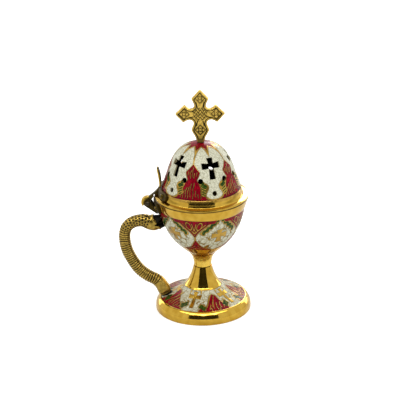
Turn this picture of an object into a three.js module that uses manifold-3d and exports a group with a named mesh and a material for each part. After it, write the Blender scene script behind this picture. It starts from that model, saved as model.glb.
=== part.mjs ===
// A footed hand censer of enamelled cast brass: foot, stem, bowl, pierced lid, cross and serpent handle.
// Millimetres, +Z up. The origin lies on the floor, under the middle of the whole outline.
import * as THREE from "three";
import { mergeVertices } from "three/addons/utils/BufferGeometryUtils.js";
import Module from "manifold-3d";

const wasm = await Module();
wasm.setup();

// Clearances and the one overrun that every cut uses
const gap = 0.3;
const overrun = 2;
const weld = 0.0005;

// Foot: a moulded band, an enamelled cone and a waisted pedestal, hollow underneath
const footRadius = 37.3;
const footBandHeight = 10;
const footRingWidth = 3.4;
const footBandDepth = 4.1;
const coneHeight = 10.5;
const coneTopRadius = 13.6;
const pedestalHeight = 15.1;
const pedestalTopRadius = 7.1;
const footWall = 2.2;
const footCeilingThickness = 4.6;
const footBandShares = [[1, 0], [1, 0.23], [0.989, 0.46], [0.961, 0.62], [0.958, 0.74], [0.94, 0.9]];
const coneShares = [[0, 0], [0.27, 0.17], [0.51, 0.34], [0.745, 0.6], [0.92, 0.86], [1, 1]];
const pedestalShares = [[0, 0], [0.335, 0.232], [0.6, 0.464], [0.78, 0.67], [0.9, 0.848], [1, 1]];

// Stem: a turned collar between pedestal and bowl
const stemHeight = 11.4;
const stemStep = 0.4;
const stemTopRadius = 10.5;
const stemShares = [[0, 0], [0.05, 0.2], [0.18, 0.47], [0.47, 0.735], [1, 1]];

// Bowl: an enamelled cup with a flared plain band at its rim
const bowlBodyHeight = 37.6;
const bowlBandHeight = 8.6;
const bowlRimRadius = 36.3;
const bowlFlare = 2.7;
const bowlWall = 1.8;
const bowlFloorThickness = 6.4;
const bowlShares = [[0, 0], [0.26, 0.14], [0.6, 0.37], [0.85, 0.66], [1, 1]];
const bowlBandShares = [[0, 0], [0.41, 0.36], [0.74, 0.72], [1, 1]];

// Tie bolt, washer and nut that hold foot, stem and bowl together
const boltRadius = 3;
const boltHeadRadius = 5.4;
const boltHeadHeight = 2.6;
const boltFloorThickness = 3;
const boltTailLength = 1.6;
const stemWasherRadius = 7.5;
const stemWasherThickness = 1.4;
const stemNutRadius = 6.2;
const stemNutHeight = 4.6;

// Charcoal cup: a spun liner that lifts out of the bowl
const cupFloorRadius = 12.5;
const cupSideClearance = 6.4;
const cupLipWidth = 2;
const cupHeight = 31;
const cupWall = 1.4;
const cupShares = [[0, 0], [0.36, 0.1], [0.7, 0.3], [0.93, 0.6], [1, 1]];

// Lid: flange, plain band and pierced dome, with a skirt that drops into the bowl's mouth
const flangeThickness = 1.5;
const flangeWidth = 4.1;
const lidBandTaper = 1.6;
const lidBandHeight = 5.9;
const domeHeight = 36.4;
const lidWall = 1.8;
const skirtClearance = 1.3;
const skirtDepth = 2.6;
const apexThickness = 3;
const domeShares = [[1, 0], [0.93, 0.18], [0.8, 0.5], [0.68, 0.715], [0.5, 0.882], [0.27, 0.968], [0, 1]];

// Piercings of the five lid panels
const panelCount = 5;
const panelTurn = 2.5;
const crossCutHeight = 17.2;
const crossCutWidth = 14;
const crossCutBar = 3.7;
const crossCutFlare = 0.6;
const crossCutLevel = 24.4;
const crossBarShare = 0.6;
const sideHoleRadius = 2;
const sideHoleLevel = 13.9;
const sideHoleAngle = 21.8;
const lowHoleRadius = 1.8;
const lowHoleLevel = 4.5;

// Cross finial with its stud, washer and nut
const crossThickness = 4;
const crossTopHeight = 42.1;
const crossCentreHeight = 22.9;
const crossHalfSpan = 18.9;
const crossCollarRadius = 3.4;
const crossCollarHeight = 1.8;
const studRadius = 2;
const studLength = 9;
const finialWasherRadius = 5;
const finialWasherThickness = 1;
const finialNutRadius = 4.1;
const finialNutHeight = 3;
// Right half of the cross, foot to top: shares of the half span, and of the arm below or above the middle
const crossOutlineShares = [
  [0.138, -1], [0.206, -0.81], [0.354, -0.59], [0.275, -0.41], [0.275, -0.276], [0.46, -0.197],
  [0.683, -0.294], [1, 0], [0.624, 0.367], [0.376, 0.204], [0.228, 0.304], [0.344, 0.623],
];

// Hinge: bracket ears on the bowl, a tongued leaf on the lid, and the pin through both
const pivotOverhang = 5.5;
const pivotDrop = 4.5;
const pinRadius = 1.1;
const pinHeadRadius = 1.8;
const pinHeadHeight = 0.9;
const earRadius = 2.9;
const earThickness = 1.8;
const earStartAngle = 30;
const earEndAngle = 235;
const tongueWidth = 3.8;
const curlRadius = 4.9;
const curlStartAngle = 75;
const curlEndAngle = 218;
const tongueEndAngle = 395;
const armTopDrop = 4.6;
const armFootDrop = 8.6;
const padThickness = 1.4;
const padHeight = 9;
const padTopDrop = 1.6;
const padHalfAngle = 22;
const saddleThickness = 1.5;
const saddleHalfAngle = 34;
const strapBend = 4.2;
const leverWidth = 8;
const leverThickness = 1.5;
const leverRise = 15.4;
const leverLean = 1.7;
const rivetRadius = 1.1;
const rivetHeadRadius = 2;
const rivetHeadHeight = 1;
const rivetTailHeight = 0.7;
const bracketRivetAngle = 15;
const bracketRivetDrop = 5.6;
const leafRivetAngle = 24;

// Handle: a serpent's body, its open mouth on a boss of the bowl and its tail on the foot's cone
const handleOverhang = 28.3;
const handleHalfWidth = 4.35;
const handleHalfDepth = 4.1;
const headDrop = 20.5;
const headInset = 7.9;
const tailRise = 1.9;
const tailInset = 9.2;
const ribCount = 30;
const ribDepth = 0.35;
const ribStartShare = 0.345;
const ribEndShare = 0.83;
const bossRadius = 2.8;
const bossLength = 5.4;
const mouthOpening = 7.6;
const screwRadius = 1.5;
const screwHeadRadius = 2.9;
const screwHeadHeight = 1.4;
const screwBite = 6;
// Middle line: shares of the way out from the line between its two seats, and of the rise from tail to head
const handleLineShares = [
  [0.001, 1.01], [0.301, 0.975], [0.552, 1.008], [0.78, 0.989], [0.936, 0.925], [0.999, 0.832],
  [0.995, 0.718], [0.936, 0.588], [0.831, 0.471], [0.66, 0.336], [0.459, 0.248], [0.265, 0.191],
  [0.132, 0.112], [0, -0.037],
];
// Half width in the handle's plane, as shares of the length and of the plain half width
const handleWidthShares = [
  [0, 1.1], [0.05, 1.3], [0.09, 1.48], [0.14, 1.3], [0.2, 1.12], [0.3, 1.05], [0.6, 1.08], [0.85, 1.14],
  [0.9, 1.14], [0.925, 1.2], [0.955, 1.2], [0.965, 1.02], [1, 1.02],
];

// Facets
const vesselSegments = 40;
const smallSegments = 12;
const holeSegments = 8;
const handleSides = 10;
const handlePlainRings = 24;
const coneSteps = 6;
const pedestalSteps = 6;
const stemSteps = 5;
const bowlSteps = 7;
const bandSteps = 2;
const cupSteps = 5;
const domeSteps = 9;

// Radii that follow from the widths above
const coneEdgeRadius = footRadius - footBandDepth;
const stemFootRadius = pedestalTopRadius - stemStep;
const bowlNeckRadius = bowlRimRadius - bowlFlare;
const cupSideRadius = bowlNeckRadius - bowlWall - cupSideClearance;
const cupLipRadius = cupSideRadius + cupLipWidth;
const lidBandFootRadius = bowlRimRadius - flangeWidth;
const lidBandTopRadius = lidBandFootRadius - lidBandTaper;
const pivotReach = bowlRimRadius + pivotOverhang;
const handleReach = bowlRimRadius + handleOverhang;

// Levels, from the floor up
const bandTop = footBandHeight;
const coneTop = bandTop + coneHeight;
const pedestalTop = coneTop + pedestalHeight;
const footCeiling = coneTop - footCeilingThickness;
const stemBottom = pedestalTop + gap;
const stemTop = stemBottom + stemHeight;
const bowlBottom = stemTop + gap;
const bowlFloor = bowlBottom + bowlFloorThickness;
const bowlNeck = bowlBottom + bowlBodyHeight;
const bowlRim = bowlNeck + bowlBandHeight;
const flangeBottom = bowlRim + gap;
const flangeTop = flangeBottom + flangeThickness;
const lidBandTop = flangeTop + lidBandHeight;
const domeTop = lidBandTop + domeHeight;
const apexUnderside = domeTop - apexThickness;
const crossBase = domeTop + gap;
const pivotHeight = bowlRim - pivotDrop;
const headHeight = bowlRim - headDrop;
const tailHeight = bandTop + tailRise;
const skirtRadius = bowlRimRadius - bowlWall - skirtClearance;
const boltBoreRadius = boltRadius + gap;
const studBoreRadius = studRadius + gap;
const handleAzimuth = Math.PI;
const axisShift = (handleReach - footRadius) / 2;

// Finishes
const goldBrass = new THREE.MeshStandardMaterial({ color: 0xd9a441, roughness: 0.22, metalness: 1 });
const castBrass = new THREE.MeshStandardMaterial({ color: 0x9a7a34, roughness: 0.45, metalness: 1 });
const steel = new THREE.MeshStandardMaterial({ color: 0x9c9c98, roughness: 0.4, metalness: 1 });
const redEnamel = new THREE.MeshStandardMaterial({ color: 0x9c1238, roughness: 0.2, metalness: 0 });
const paleEnamel = new THREE.MeshStandardMaterial({ color: 0xd5dcc9, roughness: 0.2, metalness: 0 });
const sootedBrass = new THREE.MeshStandardMaterial({ color: 0x6a5a3a, roughness: 0.6, metalness: 0.8 });

const radians = (degrees) => (degrees * Math.PI) / 180;
const at = (radius, height) => new THREE.Vector2(radius, height);

// A smooth profile between two corners, through points given as shares of the box between them
function profileCurve(start, end, shares, steps) {
  const points = shares.map(([across, up]) =>
    at(start.x + (end.x - start.x) * across, start.y + (end.y - start.y) * up));
  return new THREE.SplineCurve(points).getPoints(steps);
}

// The profile moved sideways by a distance: outwards when it is positive and the profile runs upwards
function offsetProfile(points, distance) {
  const along = (i) => points[i + 1].clone().sub(points[i]).normalize();
  return points.map((point, i) => {
    const before = along(Math.max(i - 1, 0));
    const after = along(Math.min(i, points.length - 2));
    const middle = before.clone().add(after).normalize();
    const mitre = distance / Math.max(middle.dot(after), Math.SQRT1_2);
    return at(point.x + middle.y * mitre, point.y - middle.x * mitre);
  });
}

// The inside of a wall, running downwards between two heights
function innerSkin(outer, wall, bottom, top) {
  const inner = offsetProfile(outer, -wall);
  const middle = inner.filter((point) => point.y > bottom && point.y < top);
  const lowest = at(onProfile(inner, bottom).radius, bottom);
  return [at(onProfile(inner, top).radius, top), ...middle.reverse(), lowest];
}

// A closed mesh as a solid, without the slivers that a profile point on the axis leaves
function solidOf(geometry) {
  const bare = geometry.clone();
  bare.deleteAttribute("normal");
  bare.deleteAttribute("uv");
  const merged = mergeVertices(bare, weld);
  const kept = [];
  const index = merged.index.array;
  for (let i = 0; i < index.length; i += 3) {
    const [a, b, c] = index.subarray(i, i + 3);
    if (a !== b && b !== c && c !== a) kept.push(a, b, c);
  }
  const vertProperties = merged.attributes.position.array;
  return new wasm.Manifold(new wasm.Mesh({ numProp: 3, vertProperties, triVerts: new Uint32Array(kept) }));
}

function geometryOf(solid) {
  const { vertProperties, triVerts } = solid.getMesh();
  const geometry = new THREE.BufferGeometry();
  geometry.setAttribute("position", new THREE.BufferAttribute(Float32Array.from(vertProperties), 3));
  geometry.setIndex(new THREE.BufferAttribute(Uint32Array.from(triVerts), 1));
  const flat = geometry.toNonIndexed();
  flat.computeVertexNormals();
  return flat;
}

// A closed profile, counter-clockwise in radius and height, turned about the upright axis
function turned(profile, segments = vesselSegments) {
  const geometry = new THREE.LatheGeometry([...profile, profile[0]], segments);
  geometry.rotateX(Math.PI / 2);
  return solidOf(geometry);
}

// The filled body under an outer profile that runs upwards
function filled(outer) {
  return turned([at(0, outer[0].y), ...outer, at(0, outer[outer.length - 1].y)]);
}

// A flat shape drawn in X and Z, made as thick as the width, with its middle on Y = 0
function upright(shape, width, curveSegments = smallSegments) {
  const geometry = new THREE.ExtrudeGeometry(shape, { depth: width, bevelEnabled: false, curveSegments });
  geometry.rotateX(Math.PI / 2);
  geometry.translate(0, width / 2, 0);
  return solidOf(geometry);
}

// A shape drawn in X and Y, raised along Z, then placed
function raised(shape, from, to, placement = new THREE.Matrix4(), curveSegments = smallSegments) {
  const depth = to - from;
  const geometry = new THREE.ExtrudeGeometry(shape, { depth, bevelEnabled: false, curveSegments });
  geometry.translate(0, 0, from);
  geometry.applyMatrix4(placement);
  return solidOf(geometry);
}

function disc(radius, hole = 0) {
  const shape = new THREE.Shape().absarc(0, 0, radius, 0, 2 * Math.PI);
  if (hole > 0) shape.holes.push(new THREE.Path().absarc(0, 0, hole, 0, 2 * Math.PI, true));
  return shape;
}

function hexagon(radius, hole) {
  const corners = [0, 1, 2, 3, 4, 5].map((i) => {
    const angle = (i * Math.PI) / 3;
    return at(radius * Math.cos(angle), radius * Math.sin(angle));
  });
  const shape = new THREE.Shape(corners);
  shape.holes.push(new THREE.Path().absarc(0, 0, hole, 0, 2 * Math.PI, true));
  return shape;
}

// Where an outer profile passes a height: its radius there, and how far it leans in as it rises
function onProfile(outer, height) {
  const i = outer.findIndex((point, k) => k > 0 && outer[k - 1].y <= height && point.y >= height);
  const low = outer[i - 1];
  const high = outer[i];
  const share = (height - low.y) / (high.y - low.y);
  return { radius: low.x + (high.x - low.x) * share, lean: Math.atan2(low.x - high.x, high.y - low.y) };
}

// A frame on an outer profile: X runs round it, Y up it and Z straight out of it
function surfaceFrame(outer, height, azimuth) {
  const { radius, lean } = onProfile(outer, height);
  const out = new THREE.Vector3(Math.cos(azimuth), Math.sin(azimuth), 0);
  const round = new THREE.Vector3(-Math.sin(azimuth), Math.cos(azimuth), 0);
  const rise = out.clone().multiplyScalar(-Math.sin(lean));
  rise.z = Math.cos(lean);
  const normal = round.clone().cross(rise);
  const frame = new THREE.Matrix4().makeBasis(round, rise, normal);
  return frame.setPosition(out.x * radius, out.y * radius, height);
}

// A wedge of the space round the axis, centred on the handle's side
function handleSideWedge(halfAngle, reach, bottom, top) {
  const spread = radians(halfAngle);
  const far = reach / Math.cos(spread);
  const shape = new THREE.Shape([
    at(0, 0),
    at(-far * Math.cos(spread), far * Math.sin(spread)),
    at(-far, 0),
    at(-far * Math.cos(spread), -far * Math.sin(spread)),
  ]);
  return raised(shape, bottom, top);
}

// Outer profiles, each running upwards
const footBandOuter = footBandShares.map(([across, up]) => at(footRadius * across, footBandHeight * up));
const coneOuter = profileCurve(at(coneEdgeRadius, bandTop), at(coneTopRadius, coneTop), coneShares,
  coneSteps);
const pedestalOuter = profileCurve(at(coneTopRadius, coneTop), at(pedestalTopRadius, pedestalTop),
  pedestalShares, pedestalSteps);
const footOuter = [...footBandOuter, ...coneOuter, ...pedestalOuter.slice(1)];
const stemOuter = profileCurve(at(stemFootRadius, stemBottom), at(stemTopRadius, stemTop), stemShares,
  stemSteps);
const bowlBodyOuter = profileCurve(at(stemTopRadius, bowlBottom), at(bowlNeckRadius, bowlNeck),
  bowlShares, bowlSteps);
const bowlBandOuter = profileCurve(at(bowlNeckRadius, bowlNeck), at(bowlRimRadius, bowlRim),
  bowlBandShares, bandSteps);
const bowlOuter = [...bowlBodyOuter, ...bowlBandOuter.slice(1)];
const domeOuter = profileCurve(at(0, lidBandTop), at(lidBandTopRadius, domeTop), domeShares, domeSteps);
const lidSideOuter = [
  at(lidBandFootRadius, flangeTop),
  ...domeOuter.filter((point) => point.x > studBoreRadius),
];
const lidOuter = [
  at(skirtRadius, flangeBottom),
  at(bowlRimRadius, flangeBottom),
  at(bowlRimRadius, flangeTop),
  ...lidSideOuter,
  at(studBoreRadius, domeTop),
];

const bowlEnvelope = filled(offsetProfile(bowlOuter, gap));
const lidEnvelope = filled(offsetProfile(lidOuter, gap));
const footEnvelope = filled(offsetProfile(footOuter, gap));

// Where each fastener enters a wall: frames with Z straight out
const upperScrewFrame = surfaceFrame(bowlOuter, headHeight, handleAzimuth);
const lowerScrewFrame = surfaceFrame(footOuter, tailHeight, handleAzimuth);
const bracketRivetHeight = bowlRim - bracketRivetDrop;
const leafRivetHeight = flangeTop + lidBandHeight / 2;
const sides = { left: 1, right: -1 };
const bracketRivetFrame = (side) =>
  surfaceFrame(bowlOuter, bracketRivetHeight, handleAzimuth + side * radians(bracketRivetAngle));
const leafRivetFrame = (side) =>
  surfaceFrame(lidSideOuter, leafRivetHeight, handleAzimuth + side * radians(leafRivetAngle));

// A clear hole for a fastener, along Z of its frame
function holeAlong(frame, radius, from, to) {
  return raised(disc(radius + gap), from, to, frame);
}

function makeFoot() {
  const ringRadius = footRadius - footRingWidth;
  const profile = [
    at(ringRadius, 0),
    ...footOuter,
    at(boltBoreRadius, pedestalTop),
    at(boltBoreRadius, footCeiling),
    ...innerSkin(coneOuter, footWall, bandTop - footWall / 2, footCeiling),
  ];
  return turned(profile).subtract(holeAlong(lowerScrewFrame, screwRadius, -footWall - overrun, overrun));
}

function makeStem() {
  const profile = [at(boltBoreRadius, stemBottom), ...stemOuter, at(boltBoreRadius, stemTop)];
  return turned(profile);
}

function makeBowl() {
  const pocketRadius = boltHeadRadius + gap;
  const pocketFloor = bowlBottom + boltFloorThickness;
  const profile = [
    at(boltBoreRadius, bowlBottom),
    ...bowlOuter,
    ...innerSkin(bowlOuter, bowlWall, bowlFloor, bowlRim),
    at(pocketRadius, bowlFloor),
    at(pocketRadius, pocketFloor),
    at(boltBoreRadius, pocketFloor),
  ];
  const boss = raised(disc(bossRadius), -bowlWall / 2, bossLength, upperScrewFrame);
  let bowl = turned(profile).add(boss);
  bowl = bowl.subtract(holeAlong(upperScrewFrame, screwRadius, -bowlWall - overrun, bossLength + overrun));
  for (const side of Object.values(sides)) {
    bowl = bowl.subtract(holeAlong(bracketRivetFrame(side), rivetRadius, -bowlWall - overrun, overrun));
  }
  return bowl;
}

// Tie bolt, head up in the bowl's pocket; its washer and nut sit under the foot's ceiling
const boltHeadBottom = bowlBottom + boltFloorThickness + gap;
const stemWasherTop = footCeiling - gap;
const stemNutTop = stemWasherTop - stemWasherThickness - gap;

function makeStemBolt() {
  const tail = stemNutTop - stemNutHeight - boltTailLength;
  const profile = [
    at(0, tail),
    at(boltRadius, tail),
    at(boltRadius, boltHeadBottom),
    at(boltHeadRadius, boltHeadBottom),
    at(boltHeadRadius, boltHeadBottom + boltHeadHeight / 2),
    at(boltHeadRadius / 2, boltHeadBottom + boltHeadHeight),
    at(0, boltHeadBottom + boltHeadHeight),
  ];
  return turned(profile, smallSegments);
}

function makeStemWasher() {
  return raised(disc(stemWasherRadius, boltBoreRadius), stemWasherTop - stemWasherThickness, stemWasherTop);
}

function makeStemNut() {
  return raised(hexagon(stemNutRadius, boltBoreRadius), stemNutTop - stemNutHeight, stemNutTop);
}

function makeCharcoalCup() {
  const floor = bowlFloor + gap;
  const lip = floor + cupHeight;
  const side = profileCurve(at(cupFloorRadius, floor), at(cupSideRadius, lip - cupWall), cupShares,
    cupSteps);
  const profile = [
    at(0, floor),
    ...side,
    at(cupLipRadius, lip - cupWall),
    at(cupLipRadius, lip),
    at(cupSideRadius - cupWall, lip),
    ...innerSkin(side, cupWall, floor + cupWall, lip - 2 * cupWall),
    at(0, floor + cupWall),
  ];
  return turned(profile);
}

// A Latin cross with flared ends, its crossbar on Y = 0
function latinCross(height, width, bar, flare) {
  const up = height * (1 - crossBarShare);
  const down = -height * crossBarShare;
  const half = bar / 2;
  const wide = half + flare;
  const reach = width / 2;
  const right = [
    [wide, down], [half, -half], [reach, -wide], [reach, wide], [half, half], [wide, up],
  ];
  const left = right.map(([x, y]) => [-x, y]).reverse();
  return new THREE.Shape([...right, ...left].map(([x, y]) => at(x, y)));
}

function makeLidDome() {
  const skirtBottom = flangeBottom - skirtDepth;
  const profile = [
    at(skirtRadius - lidWall, skirtBottom),
    at(skirtRadius, skirtBottom),
    ...lidOuter,
    at(studBoreRadius, apexUnderside),
    ...innerSkin(lidSideOuter, lidWall, flangeTop, apexUnderside),
    at(skirtRadius - lidWall, flangeBottom),
  ];
  let lid = turned(profile);
  const through = lidWall + overrun;
  for (let i = 0; i < panelCount; i += 1) {
    const middle = radians(panelTurn) + (i * 2 * Math.PI) / panelCount;
    const cross = latinCross(crossCutHeight, crossCutWidth, crossCutBar, crossCutFlare);
    const crossFrame = surfaceFrame(lidSideOuter, lidBandTop + crossCutLevel, middle);
    lid = lid.subtract(raised(cross, -2 * through, through, crossFrame));
    for (const side of [-1, 1]) {
      const azimuth = middle + side * radians(sideHoleAngle);
      const frame = surfaceFrame(lidSideOuter, lidBandTop + sideHoleLevel, azimuth);
      lid = lid.subtract(raised(disc(sideHoleRadius), -through, through, frame, holeSegments));
    }
    const lowFrame = surfaceFrame(lidSideOuter, lidBandTop + lowHoleLevel, middle);
    lid = lid.subtract(raised(disc(lowHoleRadius), -through, through, lowFrame, holeSegments));
  }
  for (const side of Object.values(sides)) {
    lid = lid.subtract(holeAlong(leafRivetFrame(side), rivetRadius, -through, through));
  }
  return lid;
}

// Hinge shapes are drawn about the pivot, in X and Z
const pivot = at(-pivotReach, pivotHeight);
const aboutPivot = (radius, degrees) =>
  at(pivot.x + radius * Math.cos(radians(degrees)), pivot.y + radius * Math.sin(radians(degrees)));
const pinHole = () => upright(
  new THREE.Shape().absarc(pivot.x, pivot.y, pinRadius + gap, 0, 2 * Math.PI), bowlRimRadius);

function makeBracket() {
  const tongueRoom = tongueWidth / 2 + gap;
  const arm = new THREE.Shape();
  const armStart = aboutPivot(earRadius, earStartAngle);
  const wallTop = at(-bowlNeckRadius, pivotHeight - armTopDrop);
  const wallFoot = at(-bowlNeckRadius, pivotHeight - armFootDrop);
  arm.moveTo(armStart.x, armStart.y);
  arm.absarc(pivot.x, pivot.y, earRadius, radians(earStartAngle), radians(earEndAngle), false);
  arm.lineTo(wallFoot.x - padThickness, wallFoot.y);
  arm.lineTo(wallFoot.x + bowlWall, wallFoot.y);
  arm.lineTo(wallTop.x + bowlWall, wallTop.y);
  arm.lineTo(wallTop.x - padThickness, wallTop.y);
  arm.closePath();
  const cheeks = upright(arm, 2 * (tongueRoom + earThickness)).subtract(upright(
    new THREE.Shape([
      at(pivot.x - 2 * earRadius, pivot.y - 2 * armFootDrop),
      at(pivot.x + curlRadius + 2 * gap, pivot.y - 2 * armFootDrop),
      at(pivot.x + curlRadius + 2 * gap, pivot.y + 2 * earRadius),
      at(pivot.x - 2 * earRadius, pivot.y + 2 * earRadius),
    ]), 2 * tongueRoom));
  const padTop = bowlRim - padTopDrop;
  const padBottom = padTop - padHeight;
  const padSkin = offsetProfile(bowlOuter, gap + padThickness);
  const pad = filled(padSkin)
    .intersect(handleSideWedge(padHalfAngle, pivotReach, padBottom, padTop));
  let bracket = cheeks.add(pad).subtract(bowlEnvelope).subtract(pinHole());
  for (const side of Object.values(sides)) {
    bracket = bracket.subtract(holeAlong(bracketRivetFrame(side), rivetRadius, -overrun, 2 * overrun));
  }
  return bracket;
}

function makeHingePin() {
  const half = tongueWidth / 2 + gap + earThickness + gap;
  const profile = [
    at(0, -half - pinHeadHeight),
    at(pinHeadRadius / 2, -half - pinHeadHeight),
    at(pinHeadRadius, -half - pinHeadHeight / 2),
    at(pinHeadRadius, -half),
    at(pinRadius, -half),
    at(pinRadius, half),
    at(pinHeadRadius, half),
    at(pinHeadRadius, half + pinHeadHeight / 2),
    at(pinHeadRadius / 2, half + pinHeadHeight),
    at(0, half + pinHeadHeight),
  ];
  return turned(profile, smallSegments);
}

function makeHingeLeaf() {
  const leverRoot = at(-lidBandTopRadius - gap - leverThickness / 2, lidBandTop + leverThickness);
  const leverTip = at(leverRoot.x - leverLean, leverRoot.y + leverRise - leverThickness);
  const strapTop = aboutPivot(curlRadius, curlStartAngle);
  const outerWaist = at(leverRoot.x - leverThickness / 2, leverRoot.y);
  // The tongue: knuckle, curled end and the strap that sweeps up to the lever
  const tongue = new THREE.Shape();
  tongue.moveTo(leverTip.x - leverThickness / 2, leverTip.y);
  tongue.quadraticCurveTo(outerWaist.x, leverTip.y - leverRise / 2, outerWaist.x, outerWaist.y);
  tongue.quadraticCurveTo(outerWaist.x - gap, flangeTop + strapBend, strapTop.x, strapTop.y);
  tongue.absarc(pivot.x, pivot.y, curlRadius, radians(curlStartAngle), radians(curlEndAngle), false);
  tongue.absarc(pivot.x, pivot.y, earRadius, radians(curlEndAngle), radians(tongueEndAngle), false);
  tongue.lineTo(-bowlRimRadius - 2 * gap, flangeBottom - gap);
  tongue.lineTo(-bowlRimRadius - 2 * gap, flangeTop + gap);
  tongue.lineTo(-lidBandTopRadius + lidWall, flangeTop + gap);
  tongue.lineTo(-lidBandTopRadius + lidWall, leverRoot.y);
  tongue.quadraticCurveTo(leverRoot.x + leverThickness, leverTip.y - leverRise / 2,
    leverTip.x + leverThickness / 2, leverTip.y);
  // The thumb plate is wider than the tongue
  const plate = upright(tongue, leverWidth).trimByPlane([0, 0, 1], leverRoot.y - leverThickness);
  const saddleSkin = offsetProfile(lidSideOuter, gap + saddleThickness);
  const saddle = filled(saddleSkin)
    .intersect(handleSideWedge(saddleHalfAngle, pivotReach, flangeTop + gap, lidBandTop));
  let leaf = upright(tongue, tongueWidth).add(plate).add(saddle).subtract(lidEnvelope).subtract(pinHole());
  for (const side of Object.values(sides)) {
    leaf = leaf.subtract(holeAlong(leafRivetFrame(side), rivetRadius, -overrun, 2 * overrun));
  }
  return leaf;
}

// A rivet along Z of its frame, with its head outside and its closed tail inside
function makeRivet(wall, cover) {
  const outside = gap + cover + gap;
  const inside = -wall - gap;
  const profile = [
    at(0, inside - rivetTailHeight),
    at(rivetHeadRadius, inside - rivetTailHeight),
    at(rivetHeadRadius, inside),
    at(rivetRadius, inside),
    at(rivetRadius, outside),
    at(rivetHeadRadius, outside),
    at(rivetHeadRadius / 2, outside + rivetHeadHeight),
    at(0, outside + rivetHeadHeight),
  ];
  return turned(profile, smallSegments);
}

// A screw along Z of its frame, its head inside the wall and its end in the handle
function makeScrew(wall, cover) {
  const inside = -wall - gap;
  const profile = [
    at(0, inside - screwHeadHeight),
    at(screwHeadRadius / 2, inside - screwHeadHeight),
    at(screwHeadRadius, inside - screwHeadHeight / 2),
    at(screwHeadRadius, inside),
    at(screwRadius, inside),
    at(screwRadius, cover + screwBite),
    at(0, cover + screwBite),
  ];
  return turned(profile, smallSegments);
}

function makeCross() {
  const centre = domeTop + crossCentreHeight;
  const above = crossTopHeight - crossCentreHeight;
  const below = crossCentreHeight - gap;
  const right = crossOutlineShares.map(([across, up]) =>
    at(crossHalfSpan * across, centre + (up > 0 ? above : below) * up));
  const left = right.map((point) => at(-point.x, point.y)).reverse();
  const cross = upright(new THREE.Shape([...right, at(0, centre + above), ...left]), crossThickness);
  const collarTop = crossBase + crossCollarHeight;
  const footProfile = [
    at(0, domeTop - studLength),
    at(studRadius, domeTop - studLength),
    at(studRadius, crossBase),
    at(crossCollarRadius, crossBase),
    at(crossCollarRadius, crossBase + crossCollarHeight / 2),
    at(studRadius, collarTop),
    at(0, collarTop),
  ];
  return cross.add(turned(footProfile, smallSegments));
}

const finialWasherTop = apexUnderside - gap;
const finialNutTop = finialWasherTop - finialWasherThickness - gap;

function makeFinialWasher() {
  return raised(disc(finialWasherRadius, studBoreRadius), finialWasherTop - finialWasherThickness,
    finialWasherTop);
}

function makeFinialNut() {
  return raised(hexagon(finialNutRadius, studBoreRadius), finialNutTop - finialNutHeight, finialNutTop);
}

// A value read between hand-set stations
function between(stations, along) {
  const i = Math.max(stations.findIndex(([station]) => station >= along), 1);
  const [low, lowValue] = stations[i - 1];
  const [high, highValue] = stations[i];
  return lowValue + ((highValue - lowValue) * (along - low)) / (high - low);
}

// The stations of the handle's rings: even ones on the head and tail, and a groove and a crest for each rib
function handleStations() {
  const stations = [];
  const plainShare = ribStartShare + 1 - ribEndShare;
  const headRings = Math.round((handlePlainRings * ribStartShare) / plainShare);
  const tailRings = handlePlainRings - headRings;
  for (let i = 0; i < headRings; i += 1) stations.push({ along: (ribStartShare * i) / headRings, cut: 0 });
  for (let i = 0; i <= 2 * ribCount; i += 1) {
    const along = ribStartShare + ((ribEndShare - ribStartShare) * i) / (2 * ribCount);
    stations.push({ along, cut: i % 2 === 0 ? ribDepth : 0 });
  }
  for (let i = 1; i <= tailRings; i += 1) {
    stations.push({ along: ribEndShare + ((1 - ribEndShare) * i) / tailRings, cut: 0 });
  }
  return stations;
}

// The serpent's body: oval rings carried along the middle line and joined into one closed skin
function sweptHandle() {
  const rise = headHeight - tailHeight;
  const headSeat = bowlRimRadius - headInset;
  const tailSeat = footRadius - tailInset;
  const farSide = handleReach - handleHalfWidth;
  const line = new THREE.CatmullRomCurve3(handleLineShares.map(([out, up]) => {
    const seat = tailSeat + (headSeat - tailSeat) * up;
    return new THREE.Vector3(-seat - (farSide - seat) * out, 0, tailHeight + rise * up);
  }), false, "centripetal");
  const positions = [];
  const index = [];
  const stations = handleStations();
  for (const { along, cut } of stations) {
    const middle = line.getPointAt(along);
    const tangent = line.getTangentAt(along);
    const wide = between(handleWidthShares, along);
    const halfWidth = handleHalfWidth * wide - cut;
    const halfDepth = (handleHalfDepth * (1 + wide)) / 2 - cut;
    for (let side = 0; side < handleSides; side += 1) {
      const angle = (2 * Math.PI * side) / handleSides;
      const across = halfWidth * Math.cos(angle);
      const depth = halfDepth * Math.sin(angle);
      positions.push(middle.x + tangent.z * across, depth, middle.z - tangent.x * across);
    }
  }
  for (let ring = 0; ring + 1 < stations.length; ring += 1) {
    for (let side = 0; side < handleSides; side += 1) {
      const a = ring * handleSides + side;
      const b = ring * handleSides + ((side + 1) % handleSides);
      index.push(a, b, b + handleSides, a, b + handleSides, a + handleSides);
    }
  }
  const last = (stations.length - 1) * handleSides;
  for (let side = 1; side + 1 < handleSides; side += 1) {
    index.push(0, side + 1, side);
    index.push(last, last + side, last + side + 1);
  }
  const geometry = new THREE.BufferGeometry();
  geometry.setAttribute("position", new THREE.Float32BufferAttribute(positions, 3));
  geometry.setIndex(index);
  return solidOf(geometry);
}

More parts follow.
